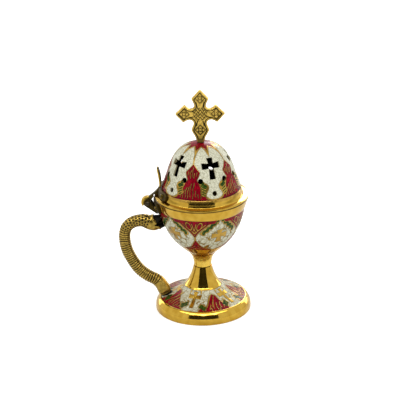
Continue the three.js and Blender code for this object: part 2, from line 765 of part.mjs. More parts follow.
// The open mouth closes on the bowl's boss; the tail is cut to the slope of the cone
function makeHandle() {
  const inMouth = (up, out) => {
    const corner = new THREE.Vector3(0, up, out).applyMatrix4(upperScrewFrame);
    return at(corner.x, corner.z);
  };
  const mouth = upright(new THREE.Shape([
    inMouth(mouthOpening / 2, -overrun),
    inMouth(-mouthOpening / 2, -overrun),
    inMouth(0, bossLength + overrun),
  ]), 6 * handleHalfWidth);
  return sweptHandle()
    .subtract(bowlEnvelope)
    .subtract(footEnvelope)
    .subtract(mouth)
    .subtract(holeAlong(upperScrewFrame, bossRadius, -overrun, bossLength + gap))
    .subtract(holeAlong(upperScrewFrame, screwRadius, -overrun, bossLength + screwBite + gap))
    .subtract(holeAlong(lowerScrewFrame, screwRadius, -overrun, screwBite + gap));
}

// The vessel's own axis stands beside the origin, because the handle reaches out on one side
const part = new THREE.Group();
const vessel = new THREE.Group();
vessel.position.x = axisShift;
part.add(vessel);

function addPiece(name, solid, material, placement = new THREE.Matrix4()) {
  const mesh = new THREE.Mesh(geometryOf(solid), material);
  mesh.name = name;
  placement.decompose(mesh.position, mesh.quaternion, mesh.scale);
  vessel.add(mesh);
}

addPiece("foot", makeFoot(), redEnamel);
addPiece("stem", makeStem(), goldBrass);
addPiece("bowl", makeBowl(), redEnamel);
addPiece("stem_bolt", makeStemBolt(), steel);
addPiece("stem_washer", makeStemWasher(), steel);
addPiece("stem_nut", makeStemNut(), steel);
addPiece("charcoal_cup", makeCharcoalCup(), sootedBrass);
addPiece("lid_dome", makeLidDome(), paleEnamel);
addPiece("cross_finial", makeCross(), castBrass);
addPiece("finial_washer", makeFinialWasher(), steel);
addPiece("finial_nut", makeFinialNut(), steel);
addPiece("hinge_bracket", makeBracket(), castBrass);
addPiece("hinge_leaf", makeHingeLeaf(), castBrass);
const pinPlacement = new THREE.Matrix4().makeRotationX(Math.PI / 2).setPosition(pivot.x, 0, pivot.y);
addPiece("hinge_pin", makeHingePin(), steel, pinPlacement);
for (const [name, side] of Object.entries(sides)) {
  addPiece(`bracket_rivet_${name}`, makeRivet(bowlWall, padThickness), goldBrass, bracketRivetFrame(side));
  addPiece(`leaf_rivet_${name}`, makeRivet(lidWall, saddleThickness), goldBrass, leafRivetFrame(side));
}
addPiece("handle", makeHandle(), castBrass);
addPiece("handle_upper_screw", makeScrew(bowlWall, bossLength), steel, upperScrewFrame);
addPiece("handle_lower_screw", makeScrew(footWall, 0), steel, lowerScrewFrame);

export default part;
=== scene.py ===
import math

import bmesh
import bpy
import numpy as np
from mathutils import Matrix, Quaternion, Vector


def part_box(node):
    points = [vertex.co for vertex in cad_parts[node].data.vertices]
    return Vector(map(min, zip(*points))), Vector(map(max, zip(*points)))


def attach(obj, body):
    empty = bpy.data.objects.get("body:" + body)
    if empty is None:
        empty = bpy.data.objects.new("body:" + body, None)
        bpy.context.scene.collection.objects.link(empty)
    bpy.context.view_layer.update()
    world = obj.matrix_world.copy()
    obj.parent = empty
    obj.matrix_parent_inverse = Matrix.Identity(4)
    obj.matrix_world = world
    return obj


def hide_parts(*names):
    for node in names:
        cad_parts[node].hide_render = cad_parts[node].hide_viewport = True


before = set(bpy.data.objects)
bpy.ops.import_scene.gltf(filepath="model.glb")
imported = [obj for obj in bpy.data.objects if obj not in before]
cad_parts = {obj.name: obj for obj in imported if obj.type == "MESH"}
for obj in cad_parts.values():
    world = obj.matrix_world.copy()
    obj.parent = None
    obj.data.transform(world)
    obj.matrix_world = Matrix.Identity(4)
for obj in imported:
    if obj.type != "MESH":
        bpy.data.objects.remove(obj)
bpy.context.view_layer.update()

# Camera: it stands in front of the censer and looks 22 degrees down on it, with the handle on the left.
# A long lens from a metre and a half away keeps the upright sides nearly parallel, and the whole
# picture leans one degree, as a camera held by hand does.
foot_low, foot_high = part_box("foot")
axis = Vector(((foot_low.x + foot_high.x) / 2, 0, 0))
CAMERA_DISTANCE = 1.5496
CAMERA_ELEVATION = math.radians(22.5)
CAMERA_LEAN = math.radians(-1.0)
LOOKED_AT_HEIGHT = 0.0775
AIM_ABOVE = 0.01154
AIM_LEFT = 0.00124
LENS_MM = 180
SENSOR_MM = 36
NEAREST_SEEN = 0.05


def new_object(name, data):
    """An object on its data, linked to the scene."""
    made = bpy.data.objects.new(name, data)
    bpy.context.scene.collection.objects.link(made)
    return made


back = Vector((0, -math.cos(CAMERA_ELEVATION), math.sin(CAMERA_ELEVATION)))
upward = Vector((0, math.sin(CAMERA_ELEVATION), math.cos(CAMERA_ELEVATION)))
middle = axis + Vector((0, 0, LOOKED_AT_HEIGHT))
camera = new_object("camera", bpy.data.cameras.new("camera"))
camera.data.sensor_width = SENSOR_MM
camera.data.lens = LENS_MM
camera.data.clip_start = NEAREST_SEEN
camera.location = middle + back * CAMERA_DISTANCE
aim = middle + upward * AIM_ABOVE - Vector((AIM_LEFT, 0, 0)) - camera.location
camera.rotation_mode = "QUATERNION"
camera.rotation_quaternion = aim.to_track_quat("-Z", "Y") @ Quaternion((0, 0, 1), CAMERA_LEAN)
bpy.context.scene.camera = camera


# Foot: one brass casting with a rounded band, a shallow cone and a waisted pedestal, hollow underneath.
# The cone's recesses are filled with enamel: red mountains between pale clouds, each cloud with a cross
# left in bare brass. The band and the pedestal are turned and polished.
# Lengths from here on are in mm unless a name says otherwise, and MM turns them to metres.
MM = 0.001
AXIS = axis.x / MM
FOOT_RADIUS = (foot_high.x - foot_low.x) / 2 / MM
CONE_LEVEL = 10.0
CONE_RADIUS = FOOT_RADIUS - 4.1
WAIST_LEVEL = 20.5
WAIST_RADIUS = 13.6
PEDESTAL_RADIUS = 7.1
PEDESTAL_LEVEL = foot_high.z / MM
BORE_RADIUS = 3.3
FOOT_CEILING = 15.9
FOOT_COLUMNS = 640
PATTERNS = 5
MOUNTAIN_AZIMUTH = -72.0
ENAMEL_DEPTH = 0.14
# One finish gives way to the next over SEAM on either side of a line.
SEAM = 0.03
NO_ENAMEL = -1.0
# Values of the field finish on bare brass; the bowl and the lid add those that smoke leaves, and one for
# painted shade along the joint where the lid sits on the bowl.
POLISHED, RUBBED, SATIN = 1.0, 0.6, 0.0


def through(points, count):
    """A smooth line through points: each stretch is the cubic whose end slopes are half the step
    between the points on either side."""
    p = np.asarray(points, float)
    p = np.vstack([p[:1], p, p[-1:]])
    t = np.linspace(0, len(p) - 3, count)
    i = np.minimum(t.astype(int), len(p) - 4)
    f = (t - i)[:, None]
    a, b, c, d = p[i], p[i + 1], p[i + 2], p[i + 3]
    return b + f / 2 * (c - a + f * (2 * a - 5 * b + 4 * c - d + f * (3 * (b - c) + d - a)))


def between(start, end, shares, count):
    """A smooth line from start to end, through shares of the box between them."""
    start, end = np.asarray(start, float), np.asarray(end, float)
    return through(start + (end - start) * np.asarray(shares, float), count)


def full_turn(count):
    """Angles at equal steps once round, without the last, which is the first again."""
    return np.linspace(0, 2 * math.pi, count, endpoint=False)


def turned(radius, height, turn):
    """Points round the axis: x is the axis plus radius times cosine, and y is radius times sine."""
    return np.stack(np.broadcast_arrays(AXIS + radius * np.cos(turn), radius * np.sin(turn), height), -1)


def lathe(profile, turn):
    """Each (radius, height) of a profile goes round the axis, one row to a point of the profile."""
    radius, height = np.asarray(profile, float).T[..., None]
    return turned(radius, height, turn)


def cells(rows, columns, ring_rows=True, ring_columns=True):
    """The four corners of each cell of a grid numbered row by row, anticlockwise from outside."""
    i = np.arange(rows if ring_rows else rows - 1)[:, None] * columns
    j = np.arange(columns if ring_columns else columns - 1)[None]
    above = (i + columns) % (rows * columns)
    right = (j + 1) % columns
    return np.stack([i + j, i + right, above + right, above + j], -1).reshape(-1, 4)


def add_piece(name, shells, material, body, replaced, fields=None, crease=35):
    """Closed shells as one object on a body. A shell is its points in mm and a list of arrays of faces,
    one face to a row. Each field lies on the points, points at one place are joined, and edges sharper
    than the crease angle stay sharp."""
    points = [shell.reshape(-1, 3) for shell, _ in shells]
    starts = np.cumsum([0] + [len(p) for p in points])
    groups = [np.atleast_2d(g) + start for start, (_, faces) in zip(starts, shells) for g in faces]
    sides = np.concatenate([np.full(len(g), g.shape[1]) for g in groups])
    corners = np.concatenate([g.ravel() for g in groups])
    mesh = bpy.data.meshes.new(name)
    mesh.vertices.add(starts[-1])
    mesh.vertices.foreach_set("co", (np.concatenate(points) * MM).ravel())
    mesh.loops.add(len(corners))
    mesh.loops.foreach_set("vertex_index", corners.astype(np.int32))
    mesh.polygons.add(len(sides))
    mesh.polygons.foreach_set("loop_start", (np.cumsum(sides) - sides).astype(np.int32))
    mesh.update(calc_edges=True)
    for key, values in (fields or {}).items():
        layer = mesh.attributes.new(key, "FLOAT", "POINT")
        layer.data.foreach_set("value", np.asarray(values, np.float32).ravel())
    work = bmesh.new()
    work.from_mesh(mesh)
    bmesh.ops.remove_doubles(work, verts=work.verts, dist=1e-6)
    bmesh.ops.delete(work, geom=[v for v in work.verts if not v.link_faces], context="VERTS")
    work.to_mesh(mesh)
    work.free()
    mesh.polygons.foreach_set("use_smooth", np.ones(len(mesh.polygons), bool))
    mesh.set_sharp_from_angle(angle=math.radians(crease))
    mesh.materials.append(material)
    piece = new_object(name, mesh)
    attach(piece, body)
    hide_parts(replaced)
    return piece


def linear(hex_colour):
    """An sRGB hex colour as linear red, green, blue and 1: each channel by the sRGB curve."""
    value = np.array([int(hex_colour[i:i + 2], 16) for i in (1, 3, 5)]) / 255
    value = np.where(value <= 0.04045, value / 12.92, ((value + 0.055) / 1.055) ** 2.4)
    return (*value.tolist(), 1.0)


def feed(tree, node, **inputs):
    """Gives a node its inputs, by name or number. Each is a value, a hex colour, an output, or a node,
    which stands for its first output in use."""
    for key, value in inputs.items():
        socket = node.inputs[int(key[1:])] if key[1:].isdigit() else node.inputs[key.replace("_", " ")]
        if isinstance(value, bpy.types.Node):
            value = next(output for output in value.outputs if output.enabled)
        if isinstance(value, bpy.types.NodeSocket):
            tree.links.new(value, socket)
        else:
            socket.default_value = linear(value) if isinstance(value, str) else value


def add(tree, kind, settings=None, **inputs):
    """Adds one node: settings are its own properties, and stops are a ramp's places and hex colours."""
    node = tree.nodes.new("ShaderNode" + kind)
    for key, value in (settings or {}).items():
        if key != "stops":
            setattr(node, key, value)
            continue
        for n, (place, colour) in enumerate(value):
            stop = node.color_ramp.elements[n] if n < 2 else node.color_ramp.elements.new(place)
            stop.position, stop.color = place, linear(colour)
    feed(tree, node, **inputs)
    return node


def empty_tree(owner):
    """The node tree of a material or a world, with nothing in it."""
    owner.use_nodes = True
    owner.node_tree.nodes.clear()
    return owner.node_tree


def new_material(name):
    """A material whose tree holds only its shader and its output."""
    material = bpy.data.materials.new(name)
    tree = empty_tree(material)
    shader = add(tree, "BsdfPrincipled")
    add(tree, "OutputMaterial", Surface=shader)
    return material, tree, shader


def grain(tree, size, detail=2.0, stretch=(1, 1, 1)):
    """Noise whose blotches are about size mm across, from Object coordinates."""
    place = add(tree, "TexCoord").outputs["Object"]
    spread = add(tree, "Mapping", Vector=place, Scale=stretch)
    return add(tree, "TexNoise", Vector=spread, Scale=1 / (size * MM), Detail=detail).outputs["Fac"]


def laid_over(tree, below, above, field, low, high):
    """The colour below where a field is low and the colour above where it is high, blended between."""
    share = add(tree, "MapRange", Value=field, From_Min=low, From_Max=high)
    return add(tree, "Mix", {"data_type": "RGBA"}, _0=share, _6=below, _7=above)


def enamelled_brass(name):
    """Cast brass with enamel in its recesses. The fields white, red and green are the distances in mm
    inside each enamel's edge, and brass is left where none is positive. The field shade is the distance
    from a line where the pale enamel lies thin. The field finish is 1 where the brass was polished on
    the lathe, 0 where it is satin between enamels, -1 where smoke has blackened it, and -0.8 as painted
    shade along the joint of lid and bowl. The enamels are glossy but grainy, and darker along every edge."""
    material, tree, shader = new_material(name)
    white, red, green, shade, finish = (add(tree, "Attribute", {"attribute_name": key}).outputs["Fac"]
                                        for key in ("white", "red", "green", "shade", "finish"))
    speckle, blotch, streak = grain(tree, 0.9, 4), grain(tree, 5.0, 3), grain(tree, 1.6, 3, (1, 1, 0.3))
    satin, polished, pale, crimson, leaf = (
        add(tree, "ValToRGB", {"stops": stops}, Fac=noise) for noise, stops in (
            (blotch, [(0.3, "#94712A"), (0.7, "#C29D4A")]),
            (blotch, [(0.3, "#BA9130"), (0.7, "#CFA945")]),
            (speckle, [(0.32, "#8C876D"), (0.45, "#B8B69E"), (0.62, "#CECEB8"), (0.8, "#E0E1D1")]),
            (speckle, [(0.3, "#50000A"), (0.52, "#860014"), (0.75, "#BC0424")]),
            (speckle, [(0.3, "#101C05"), (0.55, "#20400F"), (0.8, "#858428")])))
    brass = laid_over(tree, satin, polished, finish, SATIN, POLISHED)
    colour = laid_over(tree, "#120E09", brass, finish, -1.0, 0.0)
    pale = laid_over(tree, "#9C9272", pale, shade, 0.08, 0.5)
    # Each enamel is darker along its edge.
    pale = laid_over(tree, "#5E5430", pale, white, 0.05, 0.5)
    crimson = laid_over(tree, "#5E0012", crimson, streak, 0.35, 0.6)
    crimson = laid_over(tree, "#2C020A", crimson, red, 0.05, 0.4)
    for enamel, field in ((pale, white), (crimson, red), (leaf, green)):
        colour = laid_over(tree, colour, enamel, field, -SEAM, SEAM)
    inside = add(tree, "Math", {"operation": "MAXIMUM"}, _0=white, _1=red)
    inside = add(tree, "Math", {"operation": "MAXIMUM"}, _0=inside, _1=green)
    metal = add(tree, "MapRange", Value=inside, From_Min=-SEAM, From_Max=SEAM, To_Min=1.0, To_Max=0.0)
    raised = add(tree, "MapRange", Value=inside, From_Min=-0.15, From_Max=0.2, To_Min=1.0, To_Max=0.0)
    height = add(tree, "Math", {"operation": "MULTIPLY_ADD"}, _0=grain(tree, 0.4, 3), _1=0.12, _2=raised)
    bump = add(tree, "Bump", Strength=0.45, Distance=0.00015, Height=height)
    smooth = add(tree, "MapRange", Value=finish, To_Min=0.3, To_Max=0.07)
    dullness = add(tree, "Mix", _0=metal, _2=0.24, _3=smooth)
    feed(tree, shader, Base_Color=colour, Metallic=metal, Roughness=dullness, Normal=bump,
         Specular_IOR_Level=0.1)
    return material


def apart(azimuth, count, start):
    """Degrees from the nearest of count directions spread evenly from start."""
    step = 360 / count
    return (np.degrees(azimuth) - start + step / 2) % step - step / 2


def in_mm(field, points):
    """A field as a distance: its value over its slope along the surface, from neighbouring points."""
    across = np.linalg.norm(np.roll(points, -1, 1) - np.roll(points, 1, 1), axis=-1)
    along = np.linalg.norm(np.gradient(points, axis=0), axis=-1)
    slope_across = (np.roll(field, -1, 1) - np.roll(field, 1, 1)) / across
    slope_along = np.gradient(field, axis=0) / along
    return field / np.maximum(np.hypot(slope_across, slope_along), 0.3)


def graded(at, stops):
    """A value that goes straight from stop to stop: each stop is a place and the value there."""
    place, value = np.asarray(stops, float).T
    return np.interp(at, place, value)


def wedge(at, stops, away, radius):
    """A field with two like sides: its half width in degrees, graded over the stops, less the degrees
    away from its middle, as a distance in mm round the axis."""
    return (graded(at, stops) - np.abs(away)) * (np.radians(1) * radius)


def off_lines(x, y, ends):
    """The distance to the nearest of some straight lines, each from (x0, y0) to (x1, y1)."""
    nearest = np.full(np.broadcast(x, y).shape, np.inf)
    for x0, y0, x1, y1 in ends:
        dx, dy = x1 - x0, y1 - y0
        share = np.clip(((x - x0) * dx + (y - y0) * dy) / (dx ** 2 + dy ** 2), 0, 1)
        nearest = np.minimum(nearest, np.hypot(x - x0 - share * dx, y - y0 - share * dy))
    return nearest


def strokes(x, y, ends, width):
    """Straight lines drawn with a width: positive within half of it."""
    return width / 2 - off_lines(x, y, ends)


def ovals(x, y, shapes):
    """Ovals (middle x, y, half length, half width, degrees from upright): positive inside one, by one
    less the length of the offset counted in half axes."""
    best = np.full(np.broadcast(x, y).shape, -np.inf)
    for middle_x, middle_y, half_length, half_width, turn in shapes:
        s, c = math.sin(math.radians(turn)), math.cos(math.radians(turn))
        along, across = (x - middle_x) * s + (y - middle_y) * c, (x - middle_x) * c - (y - middle_y) * s
        best = np.maximum(best, (1 - np.hypot(along / half_length, across / half_width)) * half_width)
    return best


def polygon(x, y, corners):
    """The distance to the nearest side of a closed outline, positive inside it."""
    sides = np.hstack([corners, np.roll(corners, -1, 0)])
    nearest = off_lines(x, y, sides)
    inside = np.zeros(nearest.shape, bool)
    for x0, y0, x1, y1 in sides:
        if y0 != y1:
            inside ^= ((y0 <= y) != (y1 <= y)) & (x < x0 + (y - y0) * (x1 - x0) / (y1 - y0))
    return np.where(inside, nearest, -nearest)


def latin_cross(up, down, reach, bar, flare):
    """A cross with flared ends about the middle of its crossbar."""
    half, wide = bar / 2, bar / 2 + flare
    right = [(wide, -down), (half, -half), (reach, -wide), (reach, wide), (half, half), (wide, up)]
    return np.array(right + [(-x, y) for x, y in reversed(right)])


def puffs(x, y, half_width, low, high, size, count, seed):
    """Overlapping round puffs of cloud, each hiding the rims of the ones before it: the distance from
    the nearest rim that still shows."""
    random = np.random.default_rng(seed)
    nearest = np.full(np.broadcast(x, y).shape, 9.0)
    for middle_x, share, spread in random.uniform((-half_width, 0, 0.65), (half_width, 1, 1.25), (count, 3)):
        away = np.hypot(x - middle_x, y - low - share * (high - low)) - size * spread
        nearest = np.where(away < 0, -away, np.minimum(nearest, away))
    return nearest


def enamel_fields(white, red, green, shade, finish, more=0):
    """The five fields that the enamelled brass reads, and then as many points more without enamel."""
    fields = {"white": white, "red": red, "green": green, "shade": shade, "finish": finish}
    return {key: np.append(field, np.full(more, NO_ENAMEL)) for key, field in fields.items()}


def sunken(white, red, green):
    """How deep the enamel lies below the brass: nothing at its edge, and its full depth a little inside."""
    return ENAMEL_DEPTH * np.clip((np.maximum.reduce([white, red, green]) + 0.25) / 0.6, 0, 1)


BAND_SHOULDER = [(37.3, 1.8), (37.25, 3.2), (37.1, 4.6), (36.75, 5.9), (36.15, 7.1), (35.35, 8.3), (34.45, 9.4),
                 (33.6, 9.95)]
foot_outer = np.vstack([
    through([(FOOT_RADIUS - 0.7, 0.0), (FOOT_RADIUS - 0.15, 0.4), (FOOT_RADIUS, 1.2)], 6),
    through(BAND_SHOULDER, 26),
    between((CONE_RADIUS, CONE_LEVEL), (WAIST_RADIUS, WAIST_LEVEL),
            [(0, 0), (0.27, 0.17), (0.51, 0.34), (0.745, 0.6), (0.92, 0.86), (1, 1)], 62),
    between((WAIST_RADIUS, WAIST_LEVEL), (PEDESTAL_RADIUS, PEDESTAL_LEVEL),
            [(0, 0), (0.335, 0.232), (0.6, 0.464), (0.78, 0.67), (0.9, 0.848), (1, 1)], 24)[1:],
])
foot_outer[:, 0] = np.minimum(foot_outer[:, 0], FOOT_RADIUS)
foot_hollow = np.array([
    (BORE_RADIUS, PEDESTAL_LEVEL), (BORE_RADIUS, FOOT_CEILING), (18.5, FOOT_CEILING), (22.0, 13.6),
    (27.0, 10.9), (31.5, 8.9), (33.2, 7.5), (33.9, 0.0),
])
foot_profile = np.vstack([foot_outer, foot_hollow])
azimuth = full_turn(FOOT_COLUMNS)
points = lathe(foot_profile, azimuth)
radius = np.broadcast_to(foot_profile[:, :1], points.shape[:2])
level = points[..., 2]


def fanned(lines):
    """Lines from (degrees, radius) to (degrees, radius) on the cone, as lines across and out in mm."""
    return [(a * math.radians(1) * r, r, b * math.radians(1) * s, s) for a, r, b, s in lines]


# Foot pattern: x is across and radius is outwards, both in mm, from a mountain's or a cloud's middle.
# Each side is a list of (radius, half width in degrees), and the lean of (radius, degrees).
CROSS_TURN = 2.0
PEAK_TURN = 3.5
HILL_TURN = -16.5
LEANING_PEAK_AZIMUTH = -149
CONE_ENAMEL_RADIUS = 14.4
PEAK_LEAN = [(18, 21), (20, 18), (24, 11), (28, 5), (32, 2)]
PEAK_SIDE = [(16.5, -9), (17.5, 0), (18.5, 7), (20, 9), (22, 10.5), (24, 12), (27, 14.5), (30, 16), (33, 17)]
SPUR_SIDE = [(25, -12), (27.4, 3), (29.4, 7), (33, 19.5)]
HILL_SIDE = [(25.5, -9), (27.4, 0), (29.5, 5.5), (33, 9)]
from_mountain = apart(azimuth, PATTERNS, MOUNTAIN_AZIMUTH)
from_cross = apart(azimuth, PATTERNS, MOUNTAIN_AZIMUTH + 180 / PATTERNS - CROSS_TURN)
x = radius * np.radians(from_mountain)
x_cross = radius * np.radians(from_cross)
leaning = np.abs(apart(azimuth, 1, LEANING_PEAK_AZIMUTH)) < 180 / PATTERNS
from_peak = from_mountain - PEAK_TURN + np.where(leaning, graded(radius, PEAK_LEAN), 0)
peak = wedge(radius, PEAK_SIDE, from_peak, radius)
spur = np.where(from_mountain > 0, wedge(radius, SPUR_SIDE, from_mountain - PEAK_TURN, radius), -9.0)
hill = wedge(radius, HILL_SIDE, from_mountain - HILL_TURN, radius)
mountain = np.maximum.reduce([in_mm(field, points) for field in (peak, spur, hill)])
on_cone = in_mm(np.minimum(radius - CONE_ENAMEL_RADIUS, CONE_RADIUS - 0.2 - radius), points)
RIDGES = [(6, 18.9, -1, 24), (-1, 24, -3, 28), (2, 22, -1.5, 26.5), (-1.5, 26.5, -2, 30.5), (13, 24, 9.5, 27.5),
          (9.5, 27.5, 10, 30.5), (18, 27, 13.5, 31), (5.5, 24.5, 3.5, 29), (-5.5, 26.5, -8.5, 31),
          (3, 28.5, 4, 32), (8, 29.5, 7, 32.2), (-16.5, 28.2, -19.5, 31.6), (-14, 29.5, -15, 32.2),
          (-6, 29.5, -4.8, 32.4)]
CONTOUR = [(-2, 18.4, -6, 20.5), (-6, 20.5, -8.5, 23.5), (-8.5, 23.5, -12.5, 28)]
contour = strokes(x, radius, fanned(CONTOUR), 0.9)
outlines = np.maximum(strokes(x, radius, fanned(RIDGES), 0.5), contour)
LEAF_TURN = np.radians(22.5)
LEAF_LOBES = [(0.0, 24.9, 1.6, 1.35, 10), (-1.3, 26.6, 1.6, 1.25, 60), (1.3, 26.8, 1.6, 1.25, -60),
              (0.2, 28.4, 1.7, 1.3, 0)]
leaves = np.maximum(
    ovals(x + LEAF_TURN * 27, radius, [(a + 0.9, r + 1.9, *rest) for a, r, *rest in LEAF_LOBES]),
    ovals(x - LEAF_TURN * 26.5, radius, [(a - 0.4, r + 0.7, *rest) for a, r, *rest in LEAF_LOBES]),
)
leaf_veins = strokes(np.abs(x) - LEAF_TURN * 26.8, radius, [(0, 25.0, 0, 29.0)], 0.2)
bare_cross = polygon(x_cross, -radius, latin_cross(3.6, 10.2, 5.0, 2.2, 0.45) + (0, -19.1))
GILT_CURLS = [(5.2, 15.6, 1.3, 1.0, 60), (7.6, 16.8, 1.1, 1.0, 0), (8.2, 19.2, 1.3, 1.1, -30),
              (4.9, 24.2, 1.5, 1.5, 0), (7.4, 22.2, 1.2, 1.2, 0), (3.2, 31.0, 1.2, 1.2, 0),
              (8.8, 26.4, 1.3, 1.3, 0), (7.0, 30.2, 1.0, 1.0, 0)]
curls = np.abs(ovals(np.abs(x_cross), radius, GILT_CURLS))
swirl = np.sin(np.arctan2(radius - 24, np.abs(x_cross) - 5.5) * 2 + 0.6)
scrolls = 0.27 - np.where(swirl > -0.4, curls, 1.0)
red = np.minimum.reduce([mountain, on_cone, -outlines])
green = np.minimum.reduce([leaves, on_cone, -leaf_veins])
white = np.minimum.reduce([on_cone, -mountain - 0.4, -leaves - 0.3, -bare_cross, -scrolls, -contour])
shade = puffs(x_cross, radius, 11.0, 15.0, 32.0, 2.3, 60, 3)
red, green, white = (np.where(level > CONE_LEVEL - 0.01, field, NO_ENAMEL) for field in (red, green, white))
row = np.arange(len(foot_profile))[:, None]
finish = np.where(bare_cross > -0.2, RUBBED, SATIN)
finish = np.where((on_cone < 0) & (row < len(foot_outer)), POLISHED, finish)
points[..., 2] -= np.where(radius < CONE_RADIUS, sunken(white, red, green), 0)
FILLED_ENAMEL = enamelled_brass("enamel_in_cast_brass")
add_piece("foot_casting", [(points, [cells(len(foot_profile), FOOT_COLUMNS)])], FILLED_ENAMEL,
          "vessel", "foot", enamel_fields(white, red, green, shade, finish))


# Stem: a brass collar turned on the lathe and polished, flaring up from the pedestal to the bowl.
# It stands between them on the tie bolt, so a fine joint shows below it and above it.
STEM_COLUMNS = 192
stem_low, stem_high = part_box("stem")
stem_bottom, stem_top = stem_low.z / MM, stem_high.z / MM


def plain_metal(name, stops, blotch, dullness, dull_blotch, relief, texture, metallic=1.0):
    """A metal of one mottled colour: the stops over blotches (size in mm, detail), a roughness from low
    to high over blotches of their own, and a fine relief (strength, depth in metres) with its texture."""
    material, tree, shader = new_material(name)
    colour = add(tree, "ValToRGB", {"stops": stops}, Fac=grain(tree, *blotch))
    rough = add(tree, "MapRange", Value=grain(tree, dull_blotch), From_Min=0.3, From_Max=0.7,
                To_Min=dullness[0], To_Max=dullness[1])
    bump = add(tree, "Bump", Strength=relief[0], Distance=relief[1], Height=grain(tree, *texture))
    feed(tree, shader, Base_Color=colour, Roughness=rough, Normal=bump, Metallic=metallic)
    return material


# Brass buffed to a mirror and lacquered: a bright yellow with hard reflections, in which the rings of the
# lathe are just felt. The lacquer has yellowed unevenly.
BUFFED_BRASS = plain_metal("buffed_brass", [(0.3, "#DCB444"), (0.7, "#EAC65C")], (5.0, 3), (0.2, 0.34), 2.0,
                           (0.2, 0.00005), (0.6, 2, (0.02, 0.02, 1.0)))
stem_outer = between((6.7, stem_bottom), (10.5, stem_top),
                     [(0, 0), (0.05, 0.2), (0.18, 0.47), (0.47, 0.735), (1, 1)], 40)
stem_profile = np.vstack([[(6.3, stem_bottom)], stem_outer[1:-1], [(10.4, stem_top - 0.15), (10.1, stem_top)],
                          [(BORE_RADIUS, stem_top), (BORE_RADIUS, stem_bottom)]])
stem_points = lathe(stem_profile, full_turn(STEM_COLUMNS))
add_piece("stem_collar", [(stem_points, [cells(len(stem_profile), STEM_COLUMNS)])], BUFFED_BRASS,
          "vessel", "stem")


# Tie bolt, washer and nut: zinc-plated steel, down through bowl, stem and pedestal.
# The bolt's head is sunk in the bowl's floor, and the nut draws all three together under the foot.
# The plating is a grey metal with a faint mottle, dulled by handling.
PLATED_STEEL = plain_metal("zinc_plated_steel", [(0.35, "#84847F"), (0.65, "#B4B3AC")], (1.5, 4),
                           (0.3, 0.5), 0.8, (0.3, 0.00005), (0.4, 3))


def finish_node(node_name, material):
    """A node of the frame keeps its own mesh and takes a material."""
    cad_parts[node_name].data.materials.clear()
    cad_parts[node_name].data.materials.append(material)


for node_name in ("stem_bolt", "stem_washer", "stem_nut"):
    finish_node(node_name, PLATED_STEEL)


# Bowl: a brass casting with a flared, polished band at its rim and a boss for the handle's screw.
# Red triangles hang from the band between leaf garlands, and red spades rise from the base. Between
# them pale granular clouds surround a cross left in bare brass.
BOWL_COLUMNS = 640
TRIANGLE_AZIMUTH = -101.0
bowl_low, bowl_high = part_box("bowl")
bowl_bottom, bowl_rim = bowl_low.z / MM, bowl_high.z / MM
NECK_LEVEL = bowl_rim - 8.6
NECK_RADIUS = 33.6
RIM_RADIUS = 36.3
BOWL_WALL = 1.8
BOWL_FLOOR = bowl_bottom + 6.4
HEAD_LEVEL = bowl_rim - 20.5
BOWL_ENAMEL_TOP = NECK_LEVEL + 0.6
BOWL_ENAMEL_BASE = 56.6
# The second value is painted shade, along the joint where the lid sits on the bowl.
SMOKED, JOINT_SHADE = -0.75, -0.8
bowl_body = between((10.5, bowl_bottom), (NECK_RADIUS, NECK_LEVEL),
                    [(0, 0), (0.26, 0.14), (0.6, 0.37), (0.85, 0.66), (1, 1)], 110)
bowl_band = between((NECK_RADIUS, NECK_LEVEL), (RIM_RADIUS - 0.1, bowl_rim - 0.35),
                    [(0, 0), (0.41, 0.36), (0.74, 0.72), (1, 1)], 14)[1:]
bowl_outer = np.vstack([[(10.2, bowl_bottom)], bowl_body[1:], bowl_band, [(RIM_RADIUS - 0.4, bowl_rim)]])
bowl_inner = np.array([
    (RIM_RADIUS - BOWL_WALL + 0.3, bowl_rim), (RIM_RADIUS - BOWL_WALL, bowl_rim - 0.3),
    (33.6, bowl_rim - 3), (32.4, bowl_rim - 6), (31.8, NECK_LEVEL), (31.0, 80.0), (29.6, 75.0), (27.6, 70.0),
    (24.6, 65.0), (20.5, 60.0), (15.0, 55.4), (13.2, BOWL_FLOOR), (5.7, BOWL_FLOOR), (5.7, bowl_bottom + 3),
    (BORE_RADIUS, bowl_bottom + 3), (BORE_RADIUS, bowl_bottom),
])
bowl_profile = np.vstack([bowl_outer, bowl_inner])
bowl_side = bowl_outer[:-1]
azimuth = full_turn(BOWL_COLUMNS)
points = lathe(bowl_profile, azimuth)
radius = np.broadcast_to(bowl_profile[:, :1], points.shape[:2])
level = points[..., 2]
outside = np.arange(len(bowl_profile))[:, None] < len(bowl_outer)

# Bowl pattern: x is across in mm from a triangle's middle, x_cross from a cloud's middle.
# Each side is a list of (level in mm, half width in degrees).
TRIANGLE_SIDE = [(69.2, -4), (70.6, 0), (73.2, 2.8), (76, 6.8), (77.5, 9.6), (80.5, 15.8), (82.9, 20.2),
                 (83.1, 28), (85.2, 31)]
CHEVRON_SIDE = TRIANGLE_SIDE[:6] + [(85.2, 24.2)]
SPADE_SIDE = [(BOWL_ENAMEL_BASE, 30), (57.4, 27), (58.4, 21), (59.4, 14.5), (61, 8.5), (63, 5.5), (65.2, 3.2),
              (67.8, 0), (70, -4)]
CHEVRON_TOP = 83.0
from_triangle = apart(azimuth, PATTERNS, TRIANGLE_AZIMUTH)
from_cross = apart(azimuth, PATTERNS, TRIANGLE_AZIMUTH + 180 / PATTERNS)
x = radius * np.radians(from_triangle)
x_cross = radius * np.radians(from_cross)
triangle, inner, spade = (in_mm(wedge(level, side, from_triangle, radius), points)
                          for side in (TRIANGLE_SIDE, CHEVRON_SIDE, SPADE_SIDE))
on_bowl = in_mm(np.minimum(BOWL_ENAMEL_TOP - level, level - BOWL_ENAMEL_BASE), points)
GARLAND = [(7.0 + 1.6 * n, 74.9 + 1.38 * n + 0.5 * (n % 2), 1.9, 1.2, 5 + 85 * (n % 2)) for n in range(8)]
garland = ovals(np.abs(x), level, GARLAND)
